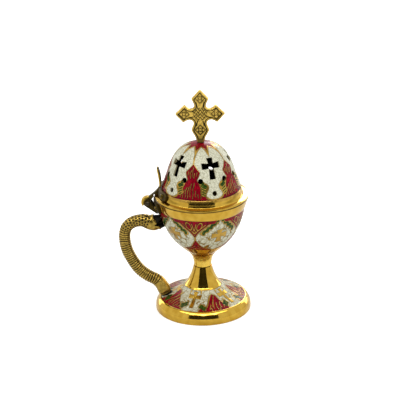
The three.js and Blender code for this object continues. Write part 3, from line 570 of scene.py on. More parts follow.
garland_rim = np.maximum(ovals(np.abs(x), level, [(a, b, p + 0.4, q + 0.4, t) for a, b, p, q, t in GARLAND]),
                         strokes(np.abs(x), level, [(6.2, 74.4, 18.2, 84.9)], 3.0))
palmette = np.maximum(0.22 - np.abs(ovals(np.abs(x), level, [(4.2, 81.0, 3.5, 1.7, 28)])),
                      strokes(np.abs(x), level, [(0.2, 77.2, 1.7, 83.2), (0.1, 74.6, 1.2, 76.6)], 0.5))
chevron = np.where(level < CHEVRON_TOP, 0.2 - np.abs(inner - 1.5), NO_ENAMEL)
spade_lines = strokes(np.abs(x), level, [
    (0.9, 61.6, 3.2, 59.6), (3.2, 59.6, 7.4, 58.3), (0.6, 58.6, 3.4, 57.4)], 0.42)
bare_cross = polygon(x_cross, level, latin_cross(5.0, 6.6, 6.3, 3.0, 1.0) + (0.5, 71.7))
bare_patch = ovals(x_cross + 7.2, level, [(0, 60.4, 2.3, 1.5, 25), (-1.6, 57.9, 1.5, 1.0, 40)])
cloud_rim = puffs(x_cross, level, 14.0, 58.0, 84.5, 2.5, 70, 11)
tie = strokes(x, level, [(0, 66.0, 0, 72.0)], 1.1)
few = np.sin(x_cross * 0.55 + level * 0.8) + np.sin(x_cross * 0.35 - level * 0.5 + 1.0) > 0.35
wires = np.where(few, 0.16 - cloud_rim, NO_ENAMEL)
red = np.maximum(
    np.minimum.reduce([triangle, on_bowl, -palmette, -chevron]),
    np.minimum.reduce([spade, level - BOWL_ENAMEL_BASE, -spade_lines]),
)
green = np.minimum.reduce([garland, -triangle - 0.2, on_bowl])
white = np.minimum.reduce([on_bowl, -triangle - 0.4, -garland_rim, -spade - 0.45, -bare_cross, -bare_patch,
                           -wires, -tie])
white, red, green = (np.where(outside, field, NO_ENAMEL) for field in (white, red, green))
finish = np.where(outside, np.where(on_bowl < 0, POLISHED, SATIN), SMOKED)
# The top of the rim, where the lid sits, is painted dark: painted shade in the joint.
finish = np.where(outside & (level > bowl_rim - 0.5), JOINT_SHADE, finish)


def press_in(points, depth, turn):
    """Moves points straight towards the axis by a depth in mm."""
    points[..., 0] -= depth * np.cos(turn)
    points[..., 1] -= depth * np.sin(turn)


press_in(points, np.where(outside, sunken(white, red, green), 0), azimuth)


def radius_at(profile, height):
    """The radius of an upward profile at a height."""
    return np.interp(height, profile[:, 1], profile[:, 0])


def slope_at(profile, height):
    """The radius of an upward profile at a height, and the direction straight out of it there."""
    low, out, high = radius_at(profile, (height - 0.3, height, height + 0.3))
    normal = np.array([0.6, low - high]) / math.hypot(0.6, low - high)
    return out, normal


def peg(profile, start, direction, columns=32):
    """A small turned piece: each (radius, distance) goes round a line from start along direction."""
    profile = np.asarray(profile, float)
    direction = np.asarray(direction, float) / np.linalg.norm(direction)
    first = np.cross(direction, (0.3, 0.2, 1.0) if abs(direction[2]) < 0.9 else (1.0, 0.3, 0.2))
    first /= np.linalg.norm(first)
    second = np.cross(direction, first)
    turn = full_turn(columns)
    spokes = np.outer(np.cos(turn), first) + np.outer(np.sin(turn), second)
    grid = np.asarray(start) + profile[:, 0, None, None] * spokes + profile[:, 1, None, None] * direction
    return grid, [cells(len(profile), columns, False)]


boss_radius, boss_out = slope_at(bowl_outer, HEAD_LEVEL)
boss_start = np.array([AXIS - boss_radius, 0, HEAD_LEVEL])
boss_along = np.array([-boss_out[0], 0, boss_out[1]])
boss = peg([(0, -0.9), (2.8, -0.9), (2.8, 5.0), (2.5, 5.4), (0, 5.4)], boss_start, boss_along)
add_piece("bowl_casting", [(points, [cells(len(bowl_profile), BOWL_COLUMNS)]), boss],
          FILLED_ENAMEL, "vessel", "bowl",
          enamel_fields(white, red, green, cloud_rim, finish, boss[0][..., 0].size))


# Charcoal cup: a liner spun from brass sheet that stands loose on the bowl's floor.
# Heat and smoke have browned it, most of all inside, where the charcoal lies.
# Spun brass gone brown and sooty: dull, with dark blotches and faint spinning rings.
SOOTED_BRASS = plain_metal("sooted_spun_brass", [(0.3, "#2A2118"), (0.55, "#6B5530"), (0.75, "#9A7C40")],
                           (7.0, 5), (0.4, 0.75), 3.0, (0.4, 0.0001), (0.8, 3, (0.05, 0.05, 1)), 0.85)
CUP_WALL = 1.4
CUP_COLUMNS = 128
cup_low, cup_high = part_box("charcoal_cup")
cup_floor, cup_lip = cup_low.z / MM, cup_high.z / MM
cup_side = between((12.5, cup_floor), (25.4, cup_lip - CUP_WALL),
                   [(0, 0), (0.36, 0.1), (0.7, 0.3), (0.93, 0.6), (1, 1)], 30)
cup_profile = np.vstack([
    [(0, cup_floor), (11.9, cup_floor)], cup_side[1:],
    through([(26.9, cup_lip - CUP_WALL), (27.4, cup_lip - 0.7), (26.9, cup_lip)], 7),
    [(25.0, cup_lip), (24.2, cup_lip - 0.4)],
    (cup_side[2:-1] - (CUP_WALL, 0))[::-1], [(11.5, cup_floor + CUP_WALL), (0, cup_floor + CUP_WALL)],
])
cup_points = lathe(cup_profile, full_turn(CUP_COLUMNS))
add_piece("spun_cup", [(cup_points, [cells(len(cup_profile), CUP_COLUMNS, False)])], SOOTED_BRASS,
          "cup", "charcoal_cup")


# Lid: a cast brass dome with a skirt that drops into the bowl, a rolled flange and a polished band.
# Five pale panels are each pierced by a cross and three round smoke holes. Red buds and bells stand
# between them, and a red star with gilt tips lies round the finial.
LID_COLUMNS = 400
PANEL_AZIMUTH = 2.5
lid_low, lid_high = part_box("lid_dome")
lid_top = lid_high.z / MM
FLANGE_BOTTOM = bowl_rim + 0.3
FLANGE_TOP = FLANGE_BOTTOM + 1.5
BAND_TOP = FLANGE_TOP + 5.9
DOME_RADIUS = 30.6
SKIRT_RADIUS = 33.2
SKIRT_BOTTOM = lid_low.z / MM
LID_WALL = 1.8
STUD_BORE = 2.3


def distance_along(line):
    """How far along a line of points each of them lies."""
    return np.concatenate([[0], np.cumsum(np.linalg.norm(np.diff(line, axis=0), axis=1))])


def point_at(line, length, at):
    """The point of a line at each distance along it."""
    return np.stack([np.interp(at, length, line[:, n]) for n in (0, 1)], -1)


DOME_SHARES = [(1, 0), (0.93, 0.18), (0.8, 0.5), (0.68, 0.715), (0.5, 0.882), (0.27, 0.968), (0, 1)]
dome_size = (DOME_RADIUS, lid_top - BAND_TOP)
lid_dome = through((0, BAND_TOP) + np.array(DOME_SHARES) * dome_size, 400)
lid_dome = lid_dome[lid_dome[:, 0] >= STUD_BORE]
length = distance_along(lid_dome)
lid_dome = point_at(lid_dome, length, np.linspace(0, length[-1], 100))
lid_rim = np.vstack([
    [(SKIRT_RADIUS - 0.3, SKIRT_BOTTOM), (SKIRT_RADIUS, SKIRT_BOTTOM + 0.3), (SKIRT_RADIUS, FLANGE_BOTTOM),
     (35.7, FLANGE_BOTTOM)],
    through([(36.1, FLANGE_BOTTOM + 0.1), (36.3, FLANGE_BOTTOM + 0.6), (36.1, FLANGE_TOP - 0.35)], 5),
    [(35.6, FLANGE_TOP - 0.15), (32.9, FLANGE_TOP + 0.05)],
    through([(32.3, FLANGE_TOP + 0.15), (32.0, FLANGE_TOP + 0.6), (31.5, FLANGE_TOP + 3),
             (30.8, BAND_TOP - 0.4)], 8),
])
lid_front = np.vstack([lid_rim, lid_dome])
step = np.gradient(lid_dome, axis=0)
step /= np.linalg.norm(step, axis=1)[:, None]
inner_dome = lid_dome - LID_WALL * np.stack([step[:, 1], -step[:, 0]], -1)
inner_dome = np.maximum(inner_dome, (STUD_BORE, 0))
inner_dome[:, 1] = np.minimum(inner_dome[:, 1], lid_top - 3)
skirt_level = np.linspace(SKIRT_BOTTOM, BAND_TOP - 0.6, len(lid_rim))
skirt_inner = np.stack([np.interp(skirt_level, [FLANGE_BOTTOM, FLANGE_TOP + 1, BAND_TOP], [31.4, 30.0, 28.8]),
                        skirt_level], -1)
lid_back = np.vstack([skirt_inner, inner_dome])
lid_rows = len(lid_front)
row_length = distance_along(lid_front)


def read_row(profile, row):
    """A profile read at fractions of a row: radius and height."""
    rows = np.arange(len(profile))
    return np.interp(row, rows, profile[:, 0]), np.interp(row, rows, profile[:, 1])


PANEL_CROSS = latin_cross(6.6, 10.4, 7.4, 4.1, 0.55)
SIDE_HOLE_AZIMUTH = 21.8
SIDE_HOLE_RADIUS = 2.0
LOW_HOLE_RADIUS = 1.95
CROSS_HEIGHT, SIDE_HOLE_HEIGHT, LOW_HOLE_HEIGHT = BAND_TOP + 24.4, BAND_TOP + 13.9, BAND_TOP + 4.5
cross_up, side_up, low_up = np.interp((CROSS_HEIGHT, SIDE_HOLE_HEIGHT, LOW_HOLE_HEIGHT),
                                      lid_front[:, 1], row_length)


def lid_clear(row, column):
    """The distance in mm from the nearest piercing: positive on brass, negative in a cross or hole."""
    radius, _ = read_row(lid_front, row)
    up = np.interp(row, np.arange(lid_rows), row_length)
    x = radius * np.radians(apart(column * 2 * math.pi / LID_COLUMNS, PATTERNS, PANEL_AZIMUTH))
    cross = polygon(x, up - cross_up, PANEL_CROSS)
    side = SIDE_HOLE_RADIUS - np.hypot(np.abs(x) - radius * math.radians(SIDE_HOLE_AZIMUTH), up - side_up)
    low = LOW_HOLE_RADIUS - np.hypot(x, up - low_up)
    return -np.maximum.reduce([cross, side, low])


def cut_out(rows, columns, ring_columns, clear, place):
    """Which cells lie where clear is positive, with the corners on their border moved on to the line
    where clear is zero: each goes down the field's slope by the field's value."""
    row, column = np.meshgrid(np.arange(rows, dtype=float), np.arange(columns, dtype=float), indexing="ij")
    field = clear(row, column)
    right = np.roll(field, -1, 1) if ring_columns else field[:, 1:]
    left = field if ring_columns else field[:, :-1]
    kept = (left[:-1] + right[:-1] + left[1:] + right[1:]) > 0
    touched, missed = np.zeros(field.shape, bool), np.zeros(field.shape, bool)
    for mask, cell in ((touched, kept), (missed, ~kept)):
        last = cell.shape[1]
        for down in (0, 1):
            mask[down:rows - 1 + down, :last] |= cell
            if ring_columns:
                mask[down:rows - 1 + down] |= np.roll(cell, 1, 1)
            else:
                mask[down:rows - 1 + down, 1:] |= cell
    border = touched & missed
    start_row, start_column = row[border], column[border]
    at_row, at_column = start_row.copy(), start_column.copy()
    reach, most = 0.05, 0.75
    for _ in range(6):
        slopes = []
        for down, across in ((reach, 0), (0, reach)):
            ahead, behind = (at_row + down, at_column + across), (at_row - down, at_column - across)
            length = np.maximum(np.linalg.norm(place(*ahead) - place(*behind), axis=-1), 1e-4)
            slopes.append(((clear(*ahead) - clear(*behind)) / length, length / (2 * reach)))
        (by_row, row_mm), (by_column, column_mm) = slopes
        step = clear(at_row, at_column) / np.maximum(by_row ** 2 + by_column ** 2, 0.4)
        at_row = np.clip(at_row - step * by_row / row_mm, start_row - most, start_row + most)
        at_column = np.clip(at_column - step * by_column / column_mm, start_column - most, start_column + most)
    row[border], column[border] = np.clip(at_row, 0, rows - 1), at_column
    return kept, row, column


def walled(rows, columns, kept, ring_columns):
    """Faces of a front grid and of a back grid numbered after it, for the kept cells, with a wall
    wherever the next cell is missing."""
    count = rows * columns
    i, j = np.nonzero(kept)
    right = (j + 1) % columns
    a, b, c, d = i * columns + j, i * columns + right, (i + 1) * columns + right, (i + 1) * columns + j
    faces = [np.stack([a, b, c, d], -1), np.stack([d, c, b, a], -1) + count]
    around = np.pad(kept, 1)
    if ring_columns:
        around[1:-1, 0], around[1:-1, -1] = kept[:, -1], kept[:, 0]
    for first, second, di, dj in ((a, b, -1, 0), (b, c, 0, 1), (c, d, 1, 0), (d, a, 0, -1)):
        open_edge = ~around[i + 1 + di, j + 1 + dj]
        s, e = first[open_edge], second[open_edge]
        faces.append(np.stack([e, s, s + count, e + count], -1))
    return faces


def lid_place(row, column):
    """Row gives radius and height along the lid's outer profile, and column the turn round the axis."""
    return turned(*read_row(lid_front, row), column * 2 * math.pi / LID_COLUMNS)


kept, row, column = cut_out(lid_rows, LID_COLUMNS, True, lid_clear, lid_place)
front = lid_place(row, column)
turn = column * 2 * math.pi / LID_COLUMNS
rear = turned(*read_row(lid_back, row), turn)

# Lid pattern: x is across in mm from a panel's middle, x_between from the line between two panels.
# Each side is a list of (level in mm, half width in degrees), but for the star of (radius, half width).
PANEL_BOTTOM = 101.9
RED_LINE_LEVEL = 101.55
PANELS_MEET = 113.4
DULLED = -0.35
PANEL_SIDE = [(101.6, 0), (102, 4), (102.6, 8), (103.6, 11.5), (105, 13.5), (106.6, 13), (108.4, 10.5),
              (110, 8.8), (112, 9), (114, 13), (116, 18), (118, 21), (121, 21.5), (122.5, 23.5),
              (124.5, 28), (127, 33), (129, 35), (131, 36.5), (134, 40)]
BUD_SIDE = [(PANEL_BOTTOM, 26.5), (103, 22.6), (105, 20.6), (107, 18.7), (110, 15.6), (112, 13.6), (114, 11.2),
            (114.8, 10), (115.3, 9), (116.2, 7.8), (117, 8.4), (118.5, 10.2), (120, 11.6), (121.6, 12.6),
            (122.6, 10.2), (124, 7), (125.5, 4), (127.2, 0)]
radius, level = read_row(lid_front, row)
from_panel = apart(turn, PATTERNS, PANEL_AZIMUTH)
from_line = apart(turn, PATTERNS, PANEL_AZIMUTH + 180 / PATTERNS)
x = radius * np.radians(from_panel)
x_between = radius * np.radians(from_line)
panel = in_mm(wedge(level, PANEL_SIDE, from_panel, radius), front)
bud = in_mm(wedge(level, BUD_SIDE, from_line, radius), front)
round_holes = in_mm(level - PANELS_MEET - 0.05 * np.abs(x_between), front)
above_band = in_mm(level - PANEL_BOTTOM, front)
LEAF_LINE = [(8.9, PANELS_MEET, 8.2, 111.4), (8.2, 111.4, 8.2, 108.6), (8.2, 108.6, 8.6, 106.8)]
leaf = strokes(np.abs(x), level, LEAF_LINE, 4.0)
leaf_stripes = 0.45 * np.sin((level - np.abs(x) * 0.5) * 2 * math.pi / 1.9) + 0.12
leaf_heart = ovals(np.abs(x), level, [(7.5, 111.8, 2.3, 1.25, 78), (8.4, 112.9, 1.3, 1.0, 20)])
FLAMES = [(-4.4, 103.2, -5.0, 107.4), (-5.0, 107.4, -3.6, 110.6), (-2.5, 102.8, -3.1, 107.0),
          (-3.1, 107.0, -1.9, 111.4), (-0.9, 104.0, -1.2, 108.4), (-1.2, 108.4, -0.4, 113.6),
          (1.4, 110.6, 1.9, 114.2), (-6.8, 103.0, -7.0, 106.0), (-7.0, 106.0, -5.8, 108.6),
          (1.1, 103.0, 1.5, 106.8), (1.5, 106.8, 0.8, 110.2), (3.4, 104.4, 3.2, 108.6),
          (5.6, 103.2, 5.2, 106.2), (7.8, 103.0, 7.4, 105.2), (-9.0, 102.8, -8.8, 104.8)]
BUD_FLAMES = [(-1.5, 117.4, -1.9, 120.2), (-1.9, 120.2, -1.1, 122.8), (-0.2, 118.2, -0.1, 121.0),
              (-0.1, 121.0, 0.3, 124.6), (1.1, 117.6, 1.5, 121.0), (3.0, 119.0, 3.4, 121.8),
              (-3.5, 119.6, -3.1, 121.8)]
flames = strokes(x_between, level, FLAMES + BUD_FLAMES, 0.48)
star_x = radius * np.radians(apart(turn, 2 * PATTERNS, PANEL_AZIMUTH))
STAR_SIDE = [(0, 5), (4.5, 4.2), (6.4, 3.1), (8.6, 1.7), (11.2, 0.6), (13, -0.2), (22, -4)]
GILT_TIP_SIDE = [(0, 2), (7.5, 3.1), (9.6, 2.4), (12, 1.5), (15.5, 0.6), (17.5, -0.1), (26, -4)]
star_red = graded(radius, STAR_SIDE) - np.abs(star_x)
star_gold = graded(radius, GILT_TIP_SIDE) - np.abs(star_x)
line = graded(level, [(124, 0.2), (128, 0.28), (134, 0.5), (138, 0.9)]) - np.abs(x_between)
red = np.minimum.reduce([bud, above_band, -flames, -leaf - 0.4])
red = np.maximum.reduce([red, star_red, np.minimum(0.3 - np.abs(level - RED_LINE_LEVEL), -panel - 0.3)])
green = np.maximum(np.minimum.reduce([leaf - 0.25, leaf_stripes, -panel + 7]), leaf_heart)
white = np.minimum.reduce([np.maximum(panel - 0.1, round_holes), -bud - 0.3, -leaf - 0.1, above_band - 0.2,
                           -star_red - 0.35, -star_gold, -line])
on_dome = np.arange(lid_rows)[:, None] > len(lid_rim) - 3
white, red, green = (np.where(on_dome, field, NO_ENAMEL) for field in (white, red, green))
press_in(front, sunken(white, red, green), turn)
evenly_pale = np.ones_like(level)
finish = np.where(on_dome, np.where((line > -0.3) & (level < 133), DULLED, SATIN), POLISHED)
# The skirt and the flange's underside are painted dark: painted shade in the joint with the bowl.
finish = np.where((level < FLANGE_BOTTOM + 0.2) & ~on_dome, JOINT_SHADE, finish)
add_piece("pierced_dome", [(np.stack([front, rear]), walled(lid_rows, LID_COLUMNS, kept, True))],
          FILLED_ENAMEL, "lid", "lid_dome",
          enamel_fields(white, red, green, evenly_pale, finish, level.size))


# Finial: a flat cross cast in brass, worked alike on both faces with a rim, lozenges and a knot.
# Its round foot stands on the dome, and a stud goes down to a washer and nut inside the lid.
def cast_brass(name, bright, dull, hollow_colour):
    """Sand-cast brass left as it aged: olive in its hollows, worn yellow where it stands out. The field
    hollow goes from 0 on the high places to 1 at the bottom of a groove; on the hinge leaf and the
    serpent it also carries painted light and shade."""
    material, tree, shader = new_material(name)
    mottle = grain(tree, 2.6, 4)
    hollow = add(tree, "Attribute", {"attribute_name": "hollow"}).outputs["Fac"]
    worn = add(tree, "Math", {"operation": "MULTIPLY_ADD"}, _0=mottle, _1=0.35, _2=hollow)
    metal = add(tree, "ValToRGB", {"stops": [(0.32, dull), (0.62, bright)]}, Fac=mottle)
    colour = laid_over(tree, metal, hollow_colour, worn, 0.4, 1.1)
    rough = add(tree, "MapRange", Value=worn, From_Min=0.2, From_Max=1.0, To_Min=0.24, To_Max=0.55)
    metallic = add(tree, "MapRange", Value=worn, From_Min=0.8, From_Max=1.3, To_Min=1.0, To_Max=0.75)
    bump = add(tree, "Bump", Strength=0.4, Distance=0.00018, Height=grain(tree, 0.7, 4))
    feed(tree, shader, Base_Color=colour, Roughness=rough, Metallic=metallic, Normal=bump)
    return material


# The cross is a soft yellow with brown left in its relief, because nobody polishes it.
AGED_BRASS = cast_brass("aged_cast_brass", "#DDB95A", "#9A8239", "#1A1405")
cross_low, cross_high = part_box("cross_finial")
CROSS_CENTRE = lid_top + 22.9
CROSS_ABOVE = 19.2
CROSS_BELOW = 22.6
CROSS_REACH = (cross_high.x - cross_low.x) / 2 / MM
CROSS_HALF_THICKNESS = 2.0
CROSS_CELL = 0.27
KNOT_RADIUS = 5.3
POST_HOLLOW = 0.75
half_outline = [
    (0.138, -1), (0.206, -0.81), (0.354, -0.59), (0.33, -0.5), (0.28, -0.41), (0.262, -0.34), (0.285, -0.265),
    (0.36, -0.21), (0.47, -0.2), (0.58, -0.235), (0.683, -0.294), (1, 0), (0.624, 0.367), (0.53, 0.27),
    (0.42, 0.205), (0.31, 0.215), (0.235, 0.29), (0.245, 0.42), (0.344, 0.623),
]
right_side = [(x * CROSS_REACH, y * (CROSS_ABOVE if y > 0 else CROSS_BELOW)) for x, y in half_outline]
outline = np.array(right_side + [(0, CROSS_ABOVE)] + [(-x, y) for x, y in reversed(right_side)])
cross_columns = int(2 * CROSS_REACH / CROSS_CELL) + 3
cross_rows = int((CROSS_ABOVE + CROSS_BELOW) / CROSS_CELL) + 3


def cross_spot(row, column):
    """Where a grid point lies on the cross's face: across and up from its centre, one cell a step."""
    return (column - (cross_columns - 1) / 2) * CROSS_CELL, (row - 1) * CROSS_CELL - CROSS_BELOW


def cross_place(row, column):
    """The same grid point on the cross's middle plane."""
    x, y = cross_spot(row, column)
    return np.stack([AXIS + x, np.zeros_like(x), CROSS_CENTRE + y], -1)


def cross_clear(row, column):
    """The distance in mm inside the cross's outline."""
    return polygon(*cross_spot(row, column), outline)


def ridge(away, width):
    """A rounded ridge: a bell of the given width over the place where away is zero."""
    return np.exp(-(away / width) ** 2)


kept, row, column = cut_out(cross_rows, cross_columns, False, cross_clear, cross_place)
x, y = cross_spot(row, column)
edge = np.maximum(polygon(x, y, outline), 0)
LOZENGES = [(12.2, 0.2), (-12.2, 0.2), (0, 12.8), (0, -12.6)]
nested = np.zeros_like(x)
for middle_x, middle_y in LOZENGES:
    diamond = np.abs(x - middle_x) + np.abs(y - middle_y)
    petals = np.hypot(x - middle_x, y - middle_y) + 0.5 * np.cos(4 * np.arctan2(y - middle_y, x - middle_x))
    nested = np.maximum.reduce([nested, ridge(diamond - 3.9, 0.42), ridge(petals - 1.45, 0.42)])
STRAND = 2.1
rising, falling = (x + y) / math.sqrt(2) / STRAND, (x - y) / math.sqrt(2) / STRAND
under = (np.floor(rising) + np.floor(falling)) % 2
weave = ridge((np.where(under == 0, rising, falling) % 1 - 0.5) ** 2 - 0.16, 0.09)
knot = weave * (np.hypot(x, y) < KNOT_RADIUS)
shaft = np.maximum(ridge(np.abs(x) - 0.9 - 0.22 * np.abs(y), 0.4) * (np.abs(y) > 5.2) * (np.abs(y) < 9.6),
                   ridge(np.abs(y) - 0.9 - 0.22 * np.abs(x), 0.4) * (np.abs(x) > 5.2) * (np.abs(x) < 9.0))
grooves = np.maximum.reduce([ridge(edge - 1.55, 0.4), nested * (edge > 1.8), knot, shaft * (edge > 1.8)])
height = CROSS_HALF_THICKNESS - 0.5 * grooves - 0.6 * ridge(edge, 0.25)
# Below its centre the cross is also darker the lower it lies.
hollow = np.clip(1.3 * grooves + np.where(y < 0, -0.018 * y, 0), 0, 1)
front, rear = cross_place(row, column), cross_place(row, column)
front[..., 1], rear[..., 1] = -height, height
foot_post = [(0, -9), (2.0, -9), (2.0, 0.3), (2.7, 0.3), (2.8, 0.8), (2.6, 1.4), (2.5, 2.3), (2.4, 3.4),
             (0, 3.6)]
post = peg(foot_post, (AXIS, 0, lid_top), (0, 0, 1), 48)
post_hollow = np.full(post[0].shape[:2], POST_HOLLOW)
add_piece("cast_cross", [(np.stack([front, rear]), walled(cross_rows, cross_columns, kept, False)), post],
          AGED_BRASS, "lid", "cross_finial",
          {"hollow": np.concatenate([hollow.ravel(), hollow.ravel(), post_hollow.ravel()])}, 50)
for node_name in ("finial_washer", "finial_nut"):
    finish_node(node_name, PLATED_STEEL)


# Hinge bracket: a cast brass pad riveted on the bowl's band, with an arm that forks into two ears.
# The ears hold the hinge pin, and the lid's tongue turns between them. It has never been polished.
PIVOT = np.array([AXIS - 41.8, bowl_rim - 4.5])
EAR_RADIUS = 2.9
EAR_THICKNESS = 1.8
TONGUE_WIDTH = 3.8
GAP = 0.3
PAD_THICKNESS = 1.4
ARM_TOP_DROP = 4.6
ARM_FOOT_DROP = 8.6
BRACKET_HOLLOW = 0.7


def arc(centre, radius, start, end, count):
    """Points at equal steps round part of a circle, in degrees anticlockwise from +X."""
    turn = np.radians(np.linspace(start, end, count))
    return np.asarray(centre) + radius * np.stack([np.cos(turn), np.sin(turn)], -1)


def bent(start, pull, end, count):
    """A curve from start to end drawn towards pull: the blend of its two sides' straight lines."""
    t = np.linspace(0, 1, count)[:, None]
    start, pull, end = (np.asarray(p, float) for p in (start, pull, end))
    return (1 - t) ** 2 * start + 2 * t * (1 - t) * pull + t ** 2 * end


def plate(outline, middle, half, edge):
    """A flat outline in X and Z, anticlockwise, made thick along Y about middle, its edges rounded:
    each ring is the outline drawn in by the round's depth at that distance from the face."""
    outline = np.asarray(outline, float)
    before, after = np.roll(outline, 1, 0), np.roll(outline, -1, 0)
    tangent = (after - before) / np.maximum(np.linalg.norm(after - before, axis=1), 1e-9)[:, None]
    inward = np.stack([-tangent[:, 1], tangent[:, 0]], -1)
    turn = np.radians([90, 60, 30, 0])
    depth = np.concatenate([edge * (1 - np.cos(turn)), edge * (1 - np.cos(turn[::-1]))])
    across = np.concatenate([-half + edge * (1 - np.sin(turn)), half - edge * (1 - np.sin(turn[::-1]))])
    flat = outline + depth[:, None, None] * inward
    points = np.stack(np.broadcast_arrays(flat[..., 0], middle + across[:, None], flat[..., 1]), -1)
    count = len(outline)
    near_cap = np.arange(count)
    return points, [cells(len(across), count, False)[:, ::-1], near_cap, (len(across) * count - 1) - near_cap]


arm_outline = np.vstack([
    arc(PIVOT, EAR_RADIUS, 30, 235, 24),
    [(AXIS - NECK_RADIUS - PAD_THICKNESS, PIVOT[1] - ARM_FOOT_DROP),
     (AXIS - NECK_RADIUS - GAP, PIVOT[1] - ARM_FOOT_DROP),
     (AXIS - NECK_RADIUS - 1.0, PIVOT[1] - ARM_TOP_DROP),
     (AXIS - NECK_RADIUS - PAD_THICKNESS - 0.3, PIVOT[1] - ARM_TOP_DROP)],
])
ear_middle = TONGUE_WIDTH / 2 + GAP + EAR_THICKNESS / 2
ears = [plate(arm_outline, sign * ear_middle, EAR_THICKNESS / 2, 0.35) for sign in (1, -1)]


def patch(profile, half_degrees, low, high, near, far, corner, columns=72, rows=26):
    """A curved plate on a turned surface, on the handle's side: the cells inside an outline with
    rounded corners, between two distances straight out of the profile."""
    half_height = (high - low) / 2
    half_width = radius_at(profile, (low + high) / 2) * math.radians(half_degrees)

    def spot(row, column):
        across, up = column / (columns - 1) * 2 - 1, row / (rows - 1) * 2 - 1
        return across * half_width * 1.03, up * half_height * 1.05

    def clear(row, column):
        x, y = spot(row, column)
        dx, dy = np.abs(x) - half_width + corner, np.abs(y) - half_height + corner
        return corner - np.hypot(np.maximum(dx, 0), np.maximum(dy, 0)) - np.minimum(np.maximum(dx, dy), 0)

    def place(row, column, out=far):
        x, y = spot(row, column)
        height = (low + high) / 2 + y
        lean = radius_at(profile, height + 0.5) - radius_at(profile, height - 0.5)
        azimuth = math.pi - x / half_width * math.radians(half_degrees)
        size = np.hypot(1, lean)
        return turned(radius_at(profile, height) + out / size, height - out * lean / size, azimuth)

    kept, row, column = cut_out(rows, columns, False, clear, place)
    edge = np.maximum(clear(row, column), 0)
    front = place(row, column, far - 0.35 * ridge(edge, 0.35))
    rear = place(row, column, near)
    faces = [group[:, ::-1] for group in walled(rows, columns, kept, False)]
    return np.stack([front, rear]), faces


def evenly_hollow(shells, amount):
    """One value of the field hollow for every point of some shells."""
    return {"hollow": np.full(sum(points[..., 0].size for points, _ in shells), amount)}


# An old brown patina that only a little yellow shows through.
DARK_BRASS = cast_brass("patinated_cast_brass", "#6E5A22", "#3A2F10", "#141005")
pad = patch(bowl_side, 22, bowl_rim - 10.6, bowl_rim - 1.6, GAP - 0.25, GAP + PAD_THICKNESS, 2.4)
bracket = [*ears, pad]
add_piece("bracket_casting", bracket, DARK_BRASS, "vessel", "hinge_bracket",
          evenly_hollow(bracket, BRACKET_HOLLOW), 40)


# Hinge pin and rivets: a steel pin headed over at both ends and browned with age, and round-headed
# brass rivets through the pad and the bowl's wall.
PIN_RADIUS = 1.1
PIN_HOLLOW = 0.4
RIVET_HOLLOW = 0.1
pin_half = TONGUE_WIDTH / 2 + 2 * GAP + EAR_THICKNESS
pin_end = [(1.8, 0), (1.8, 0.3), (1.5, 0.65), (0.9, 0.86), (0, 0.9)]
half_pin = [(PIN_RADIUS, pin_half)] + [(r, pin_half + h) for r, h in pin_end]
pin = peg([(r, -h) for r, h in reversed(half_pin)] + half_pin, (PIVOT[0], 0, PIVOT[1]), (0, 1, 0))
add_piece("headed_pin", [pin], cast_brass("browned_steel", "#5A5040", "#332C20", "#15110A"), "vessel",
          "hinge_pin", evenly_hollow([pin], PIN_HOLLOW))


def add_rivets(name, body, replaced, profile, height, degrees, wall, cover):
    """Two rivets straight out of a turned surface, the same degrees to the left and right of the hinge:
    each has a closed tail inside and a domed head outside."""
    out, normal = slope_at(profile, height)
    tail, head = -wall - 0.3, cover + 2 * GAP
    rivet = [(0, tail - 0.7), (2.0, tail - 0.7), (2.0, tail), (1.1, tail), (1.1, head), (2.0, head),
             (1.85, head + 0.45), (1.3, head + 0.85), (0.6, head + 1.0), (0, head + 1.05)]
    for side_name, azimuth in (("left", math.radians(180 + degrees)), ("right", math.radians(180 - degrees))):
        along = (normal[0] * math.cos(azimuth), normal[0] * math.sin(azimuth), normal[1])
        shell = peg(rivet, turned(out, height, azimuth), along, 24)
        add_piece(name + side_name, [shell], DARK_BRASS, body, replaced + side_name,
                  evenly_hollow([shell], RIVET_HOLLOW))


add_rivets("bowl_rivet_", "vessel", "bracket_rivet_", bowl_side, bowl_rim - 5.6, 15, BOWL_WALL, PAD_THICKNESS)


# Hinge leaf: a cast brass saddle riveted on the lid's band, with a tongue that curls over the pin.
# The tongue sweeps up past the lid into a thumb lever. The lever's outside and the curl's end are coloured
# bright as painted light, and the rest of the leaf dark as painted shade.
LEVER_WIDTH = 8.0
LEVER_THICKNESS = 1.5
LEVER_LEAN = 1.7
LEVER_RISE = 15.4
STRAP_BEND = 4.2
CURL_RADIUS = 4.9
SADDLE_THICKNESS = 1.5
# Values of the field hollow: low on the curl's end as painted light, high on the saddle as painted shade.
CURL_PAINTED_LIGHT, SADDLE_PAINTED_SHADE = 0.2, 0.86
half_lever = LEVER_THICKNESS / 2
lever_root = np.array([AXIS - DOME_RADIUS - GAP - half_lever, BAND_TOP + LEVER_THICKNESS])
lever_tip = lever_root + (-LEVER_LEAN, LEVER_RISE - LEVER_THICKNESS)
waist = lever_root - (half_lever, 0)
lever_middle = lever_tip[1] - LEVER_RISE / 2
strap_top = arc(PIVOT, CURL_RADIUS, 75, 75, 1)[0]
lever_outside = bent(lever_tip - (half_lever, 0), (waist[0], lever_middle), waist, 14)
lever_inside = bent(lever_root + (half_lever, 0), (lever_root[0] + LEVER_THICKNESS, lever_middle),
                    lever_tip + (half_lever, 0), 14)
outer_side = np.vstack([
    lever_outside,
    bent(waist, (waist[0] - GAP, FLANGE_TOP + STRAP_BEND), strap_top, 14)[1:],
    arc(PIVOT, CURL_RADIUS, 75, 218, 18)[1:],
    arc(PIVOT, EAR_RADIUS, 218, 395, 20),
])
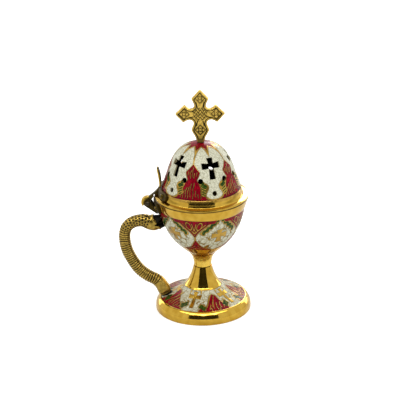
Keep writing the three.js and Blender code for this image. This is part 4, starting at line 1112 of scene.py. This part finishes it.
lid_side = np.vstack([
    [(AXIS - RIM_RADIUS - 2 * GAP, FLANGE_BOTTOM - GAP), (AXIS - RIM_RADIUS - 2 * GAP, FLANGE_TOP + GAP),
     (AXIS - 32.4, FLANGE_TOP + GAP), (AXIS - 31.2, BAND_TOP)],
    lever_inside,
])
tongue = plate(np.vstack([outer_side, lid_side]), 0, TONGUE_WIDTH / 2, 0.4)
lever = plate(np.vstack([lever_outside, lever_inside]), 0, LEVER_WIDTH / 2, 0.35)
lid_band_outer = np.vstack([[(32.1, FLANGE_TOP)], lid_rim[-6:], lid_dome[:6]])
saddle = patch(lid_band_outer, 34, FLANGE_TOP + GAP, BAND_TOP, GAP - 0.25, GAP + SADDLE_THICKNESS, 2.2)


def leaf_light_and_shade(points):
    """Painted light and shade on the leaf, as values of the field hollow: none on the lever's outside and
    little on the end of the curl, as painted light, and much elsewhere, as painted shade.
    """
    x, z = points[..., 0], points[..., 2]
    outer_x = np.interp(z, lever_outside[::-1, 1], lever_outside[::-1, 0])
    on_lever = (z > waist[1]) & (x < outer_x + half_lever)
    on_curl = np.hypot(x - PIVOT[0], z - PIVOT[1]) > CURL_RADIUS - 0.7
    on_curl &= x < PIVOT[0] + 1.2
    return np.where(on_lever, 0.0, np.where(on_curl, CURL_PAINTED_LIGHT, SADDLE_PAINTED_SHADE)).ravel()


# The lever's outside is painted bright as light, and the saddle under it dark as painted shade.
LEAF_BRASS = cast_brass("leaf_cast_brass", "#CCA848", "#A58633", "#1C1704")
leaf_shells = [tongue, lever, saddle]
add_piece("leaf_casting", leaf_shells, LEAF_BRASS, "lid", "hinge_leaf",
          {"hollow": np.concatenate([leaf_light_and_shade(shell) for shell, _ in leaf_shells])}, 40)
add_rivets("lid_rivet_", "lid", "leaf_rivet_", lid_band_outer, FLANGE_TOP + 2.95, 24, LID_WALL,
           SADDLE_THICKNESS)


# Handle: a serpent cast in brass. Its open mouth closes on the bowl's boss, its neck is punched with
# scales, its body is ribbed, and its plain tail is cut to the slope of the foot, with a screw in each end.
HANDLE_REACH = RIM_RADIUS + 28.3
HANDLE_HALF_WIDTH = 4.35
HANDLE_HALF_DEPTH = 4.1
TAIL_LEVEL = CONE_LEVEL + 1.9
HEAD_SEAT = RIM_RADIUS - 7.9
TAIL_SEAT = FOOT_RADIUS - 9.2
HANDLE_COLUMNS = 72
MOUTH_DEPTH = 7.4
MOUTH_HALF = 3.0
LIP_REACH = 4.8
HEAD_SHARE = 0.17
RIBS = 30
RIB_START, RIB_END = 0.335, 0.85
SCALE_STEP = 2.15
SCALES_ROUND = 13
TIGHT = 0.05
SCALES_START, SCALES_END = 0.125, 0.33
SCALE_PUNCH = 0.62
# Where the tail's bead lies, and where painted shade on the tail's end begins.
BEAD_SHARE, TAIL_SHADE_SHARE = 0.957, 0.962
LIP_SWELL = 0.45
# How dark the open mouth and the tail's cut end are painted: painted shade.
MOUTH_PAINTED_SHADE, CUT_END_PAINTED_SHADE = 1.25, 1.0
HEAD_ROWS, BODY_ROWS, LIP_ROWS = 60, 560, 110
handle_line = np.array([
    (0.001, 1.01), (0.301, 0.975), (0.552, 1.008), (0.78, 0.989), (0.936, 0.925), (0.999, 0.832),
    (0.995, 0.718), (0.936, 0.588), (0.831, 0.471), (0.66, 0.336), (0.459, 0.248), (0.265, 0.191),
    (0.132, 0.112), (0.0, -0.037),
])
seat = TAIL_SEAT + (HEAD_SEAT - TAIL_SEAT) * handle_line[:, 1]
line_points = np.stack([
    AXIS - seat - (HANDLE_REACH - HANDLE_HALF_WIDTH - seat) * handle_line[:, 0],
    TAIL_LEVEL + (HEAD_LEVEL - TAIL_LEVEL) * handle_line[:, 1],
], -1)
dense = through(line_points, 1200)
dense_length = distance_along(dense)
HANDLE_LENGTH = dense_length[-1]
WIDTH_SHARES = [
    (0, 1.1), (0.05, 1.3), (0.09, 1.48), (0.14, 1.3), (0.2, 1.12), (0.3, 1.05), (0.6, 1.08), (0.85, 1.14),
    (0.9, 1.14), (0.925, 1.2), (0.955, 1.2), (0.965, 1.02), (1, 1.02),
]
turn = full_turn(HANDLE_COLUMNS)
rib_depth = np.random.default_rng(7).uniform(0.35, 0.7, RIBS + 2)


def along_line(at):
    """Points of the serpent's middle line at lengths in mm from its head."""
    return point_at(dense, dense_length, at)


def serpent(share, turn):
    """The serpent's skin: an oval ring about the middle line at a share of its length. Each rib draws in
    by a bell round its groove, and scale punches by a bell round each point of a staggered lattice."""
    at = share * HANDLE_LENGTH
    middle = along_line(at)
    tangent = along_line(at + 0.2) - along_line(at - 0.2)
    tangent /= np.linalg.norm(tangent, axis=-1)[..., None]
    wide = graded(share, WIDTH_SHARES)
    count = (share - RIB_START) / (RIB_END - RIB_START) * RIBS + 0.09 * np.sin(2 * turn + 40 * share)
    ribbed = (count > -0.3) & (count < RIBS + 0.3)
    depth = rib_depth[np.clip(np.round(count), 0, RIBS).astype(int)]
    groove = np.where(ribbed, ridge(count - np.round(count), 0.22), 0)
    lattice_u = at / SCALE_STEP
    lattice_v = turn / (2 * math.pi) * SCALES_ROUND
    off_u = (lattice_u % 1 - 0.5) * SCALE_STEP
    off_v = ((lattice_v + np.floor(lattice_u) % 2 / 2) % 1 - 0.5) * SCALE_STEP
    scaled = np.clip((share - SCALES_START) / 0.01, 0, 1) * np.clip((SCALES_END - share) / 0.01, 0, 1)
    punch = ridge(np.hypot(off_u, off_v), SCALE_PUNCH) * scaled
    tail_bead = ridge((share - BEAD_SHARE) * HANDLE_LENGTH, 0.5)
    drawn_in = groove * depth + 0.5 * punch + 0.3 * tail_bead
    half_width = HANDLE_HALF_WIDTH * wide - drawn_in
    half_depth = HANDLE_HALF_DEPTH * (1 + wide) / 2 - drawn_in
    across = half_width * np.cos(turn)
    points = np.stack([middle[..., 0] + tangent[..., 1] * across, half_depth * np.sin(turn),
                       middle[..., 1] - tangent[..., 0] * across], -1)
    # Beyond the bead the tail's end is painted darker: painted shade.
    tail_end_shade = np.clip((share - TAIL_SHADE_SHARE) / 0.01, 0, 1)
    return points, np.clip(1.25 * groove * (depth + 0.3) + 2.2 * punch + tail_bead + tail_end_shade, 0, 1.2)


across_boss = np.array([boss_along[2], 0, -boss_along[0]])


def mouth_frame(points):
    """How far points lie out of the bowl at the boss, and how far up across the boss."""
    offset = points - boss_start
    return offset @ boss_along, offset @ across_boss


def mouth_floor(up):
    """The least distance out of the bowl: the open mouth is a wedge, deepest at its middle."""
    return np.maximum(MOUTH_DEPTH * (1 - np.abs(up) / MOUTH_HALF), 0.15)


def cone_height(radius):
    """The height of the foot's outside at a radius."""
    return np.interp(radius, foot_outer[::-1, 0], foot_outer[::-1, 1])


def above_cone(points):
    """The same points, lifted where they would sink into the foot."""
    reach = np.hypot(points[..., 0] - AXIS, points[..., 1])
    floor = np.where(reach < CONE_RADIUS + 1, cone_height(reach) + TIGHT, -1.0)
    return np.stack([points[..., 0], points[..., 1], np.maximum(points[..., 2], floor)], -1)


end = np.zeros(HANDLE_COLUMNS)
for _ in range(30):
    ring_points = serpent(end, turn)[0]
    out, up = mouth_frame(ring_points)
    bowl_gap = np.hypot(ring_points[:, 0] - AXIS, ring_points[:, 1]) - radius_at(bowl_side, ring_points[:, 2])
    short = np.maximum(mouth_floor(up) - out, 2 * TIGHT - bowl_gap)
    end = np.clip(end + short * 0.6 / HANDLE_LENGTH, 0, HEAD_SHARE - 0.01)
head_share = end + (HEAD_SHARE - end) * np.linspace(0, 1, HEAD_ROWS)[:, None]
body_share = np.linspace(HEAD_SHARE, 1, BODY_ROWS)[1:, None] + 0 * turn
share = np.vstack([head_share, body_share])
points, hollow = serpent(share, turn)
out, up = mouth_frame(points)
lip_reach = LIP_REACH + 0.2 * up
in_head = np.arange(len(points))[:, None] < LIP_ROWS
# The head's skin next to the bowl is painted nearly black: painted shade in and around the open mouth.
hollow = np.where(in_head & (out < lip_reach - 0.5), MOUTH_PAINTED_SHADE, hollow)
lip = np.where(in_head, ridge(out - lip_reach, 0.8), 0)
hollow = np.maximum(hollow - lip, 0)
middle_line = along_line(share * HANDLE_LENGTH)[..., [0, 0, 1]] * (1, 0, 1)
points += LIP_SWELL * lip[..., None] * (points - middle_line) / HANDLE_HALF_WIDTH
lip_out, lip_up = mouth_frame(points[0])
throat_q = np.linspace(0, 1, 9)[:-1, None]
throat_up = lip_up.mean() + throat_q * (lip_up - lip_up.mean())
throat_out = mouth_floor(throat_up) * (1 - throat_q) + throat_q * lip_out
throat = (boss_start + throat_out[..., None] * boss_along + throat_up[..., None] * across_boss
          + (throat_q * points[0][:, 1])[..., None] * (0, 1, 0))
near_foot = np.arange(len(points))[:, None, None] > 0.85 * len(points)
points = np.where(near_foot, above_cone(points), points)
tail_middle = points[-1].mean(0)
tail_q = np.linspace(1, 0, 7)[1:, None, None]
tail_cap = above_cone(tail_middle + tail_q * (points[-1] - tail_middle))
skin = np.concatenate([throat, points, tail_cap])
# The throat inside the mouth and the tail's cut end are painted nearly black: painted shade.
dark = np.concatenate([np.full(throat.shape[:2], MOUTH_PAINTED_SHADE), hollow, np.full(tail_cap.shape[:2], CUT_END_PAINTED_SHADE)])
# Hands have worn the ribs to a dull yellow, and nearly black dirt fills the grooves. The mouth and the tail's
# cut end are painted the same near black, as shade.
SERPENT_BRASS = cast_brass("ribbed_cast_brass", "#B09245", "#7E692F", "#100B03")
add_piece("serpent", [(skin, [cells(len(skin), HANDLE_COLUMNS, False)])], SERPENT_BRASS, "vessel",
          "handle", {"hollow": dark}, 60)
for node_name in ("handle_upper_screw", "handle_lower_screw"):
    finish_node(node_name, PLATED_STEEL)


# Studio: a plain white floor and sky, a low arch of soft lamps in front over a dark card, and three
# lamps behind. Polished brass shows the arch as a bright line, the card as a dark mark under it.
FLOOR_HALF = 3.0
FLOOR_GLOW = 0.42
SKY_LIGHT = 0.62
LAMP_DISTANCE = 0.9
CARD_HALF = 0.82
CARD_LINE = [(-1.15, 0.12), (-1.12, 0.5), (-1.0, 1.06)]
scene = bpy.context.scene


def seen_directly(tree):
    """1 for a ray from the camera, a mirror or glass, and 0 for a ray that only lights something."""
    rays = add(tree, "LightPath").outputs
    first = add(tree, "Math", {"operation": "MAXIMUM"}, _0=rays["Is Camera Ray"], _1=rays["Is Glossy Ray"])
    return add(tree, "Math", {"operation": "MAXIMUM"}, _0=first, _1=rays["Is Transmission Ray"])


def stage_sheet(name, rows, material):
    """A sheet through pairs of points in metres, one pair to a row, that isn't part of the censer."""
    mesh = bpy.data.meshes.new(name)
    faces = [(2 * n, 2 * n + 1, 2 * n + 3, 2 * n + 2) for n in range(len(rows) // 2 - 1)]
    mesh.from_pydata(rows, [], faces)
    mesh.materials.append(material)
    sheet = new_object(name, mesh)
    return sheet


# The paper is dull and even, and glows a little to the camera so that the ground stays nearly white.
white_paper = bpy.data.materials.new("white_paper")
tree = empty_tree(white_paper)
paper = add(tree, "BsdfDiffuse", Color="#EFEFEC")
to_camera = add(tree, "LightPath").outputs["Is Camera Ray"]
glow_strength = add(tree, "Math", {"operation": "MULTIPLY"}, _0=to_camera, _1=FLOOR_GLOW)
glow = add(tree, "Emission", Color=(1, 1, 1, 1), Strength=glow_strength)
both = add(tree, "AddShader", _0=paper, _1=glow)
add(tree, "OutputMaterial", Surface=both)
floor_edges = (-FLOOR_HALF, FLOOR_HALF)
stage_sheet("floor", [(x, y, 0) for y in floor_edges for x in floor_edges], white_paper)

# The card is seen only in the polished brass, as a dark mark.
dark_board, tree, shader = new_material("dark_board")
feed(tree, shader, Base_Color="#16120C")
card_rows = [(axis.x + side * CARD_HALF, y, z) for y, z in CARD_LINE for side in (-1, 1)]
card = stage_sheet("dark_card", card_rows, dark_board)
card.visible_camera = card.visible_shadow = card.visible_diffuse = False

world = bpy.data.worlds.new("studio")
scene.world = world
tree = empty_tree(world)
sky_strength = add(tree, "MapRange", Value=seen_directly(tree), To_Min=SKY_LIGHT)
sky = add(tree, "Background", Color=(1, 1, 1, 1), Strength=sky_strength)
add(tree, "OutputWorld", Surface=sky)

# Each lamp: its name, degrees round from the front, degrees up, width and height in metres, and watts.
LAMPS = [(f"lamp_front_{n}", 34 * n - 51, 47, 0.55, 0.17, 1.35) for n in range(4)]
LAMPS += [("lamp_behind_right", 165, 24, 0.3, 0.3, 2.5), ("lamp_far_left", -135, 12, 0.25, 0.5, 1.0),
          ("lamp_far_right", 135, 14, 0.3, 0.5, 1.6)]
for lamp_name, side, rise, width, height, power in LAMPS:
    side, rise = math.radians(side), math.radians(rise)
    lamp = bpy.data.lights.new(lamp_name, "AREA")
    lamp.shape = "RECTANGLE"
    lamp.size, lamp.size_y = width, height
    lamp.energy = power
    holder = new_object(lamp_name, lamp)
    way = Vector((math.sin(side) * math.cos(rise), -math.cos(side) * math.cos(rise), math.sin(rise)))
    holder.location = middle + way * LAMP_DISTANCE
    holder.rotation_mode = "QUATERNION"
    holder.rotation_quaternion = (-way).to_track_quat("-Z", "Y")
scene.view_settings.view_transform = "Standard"
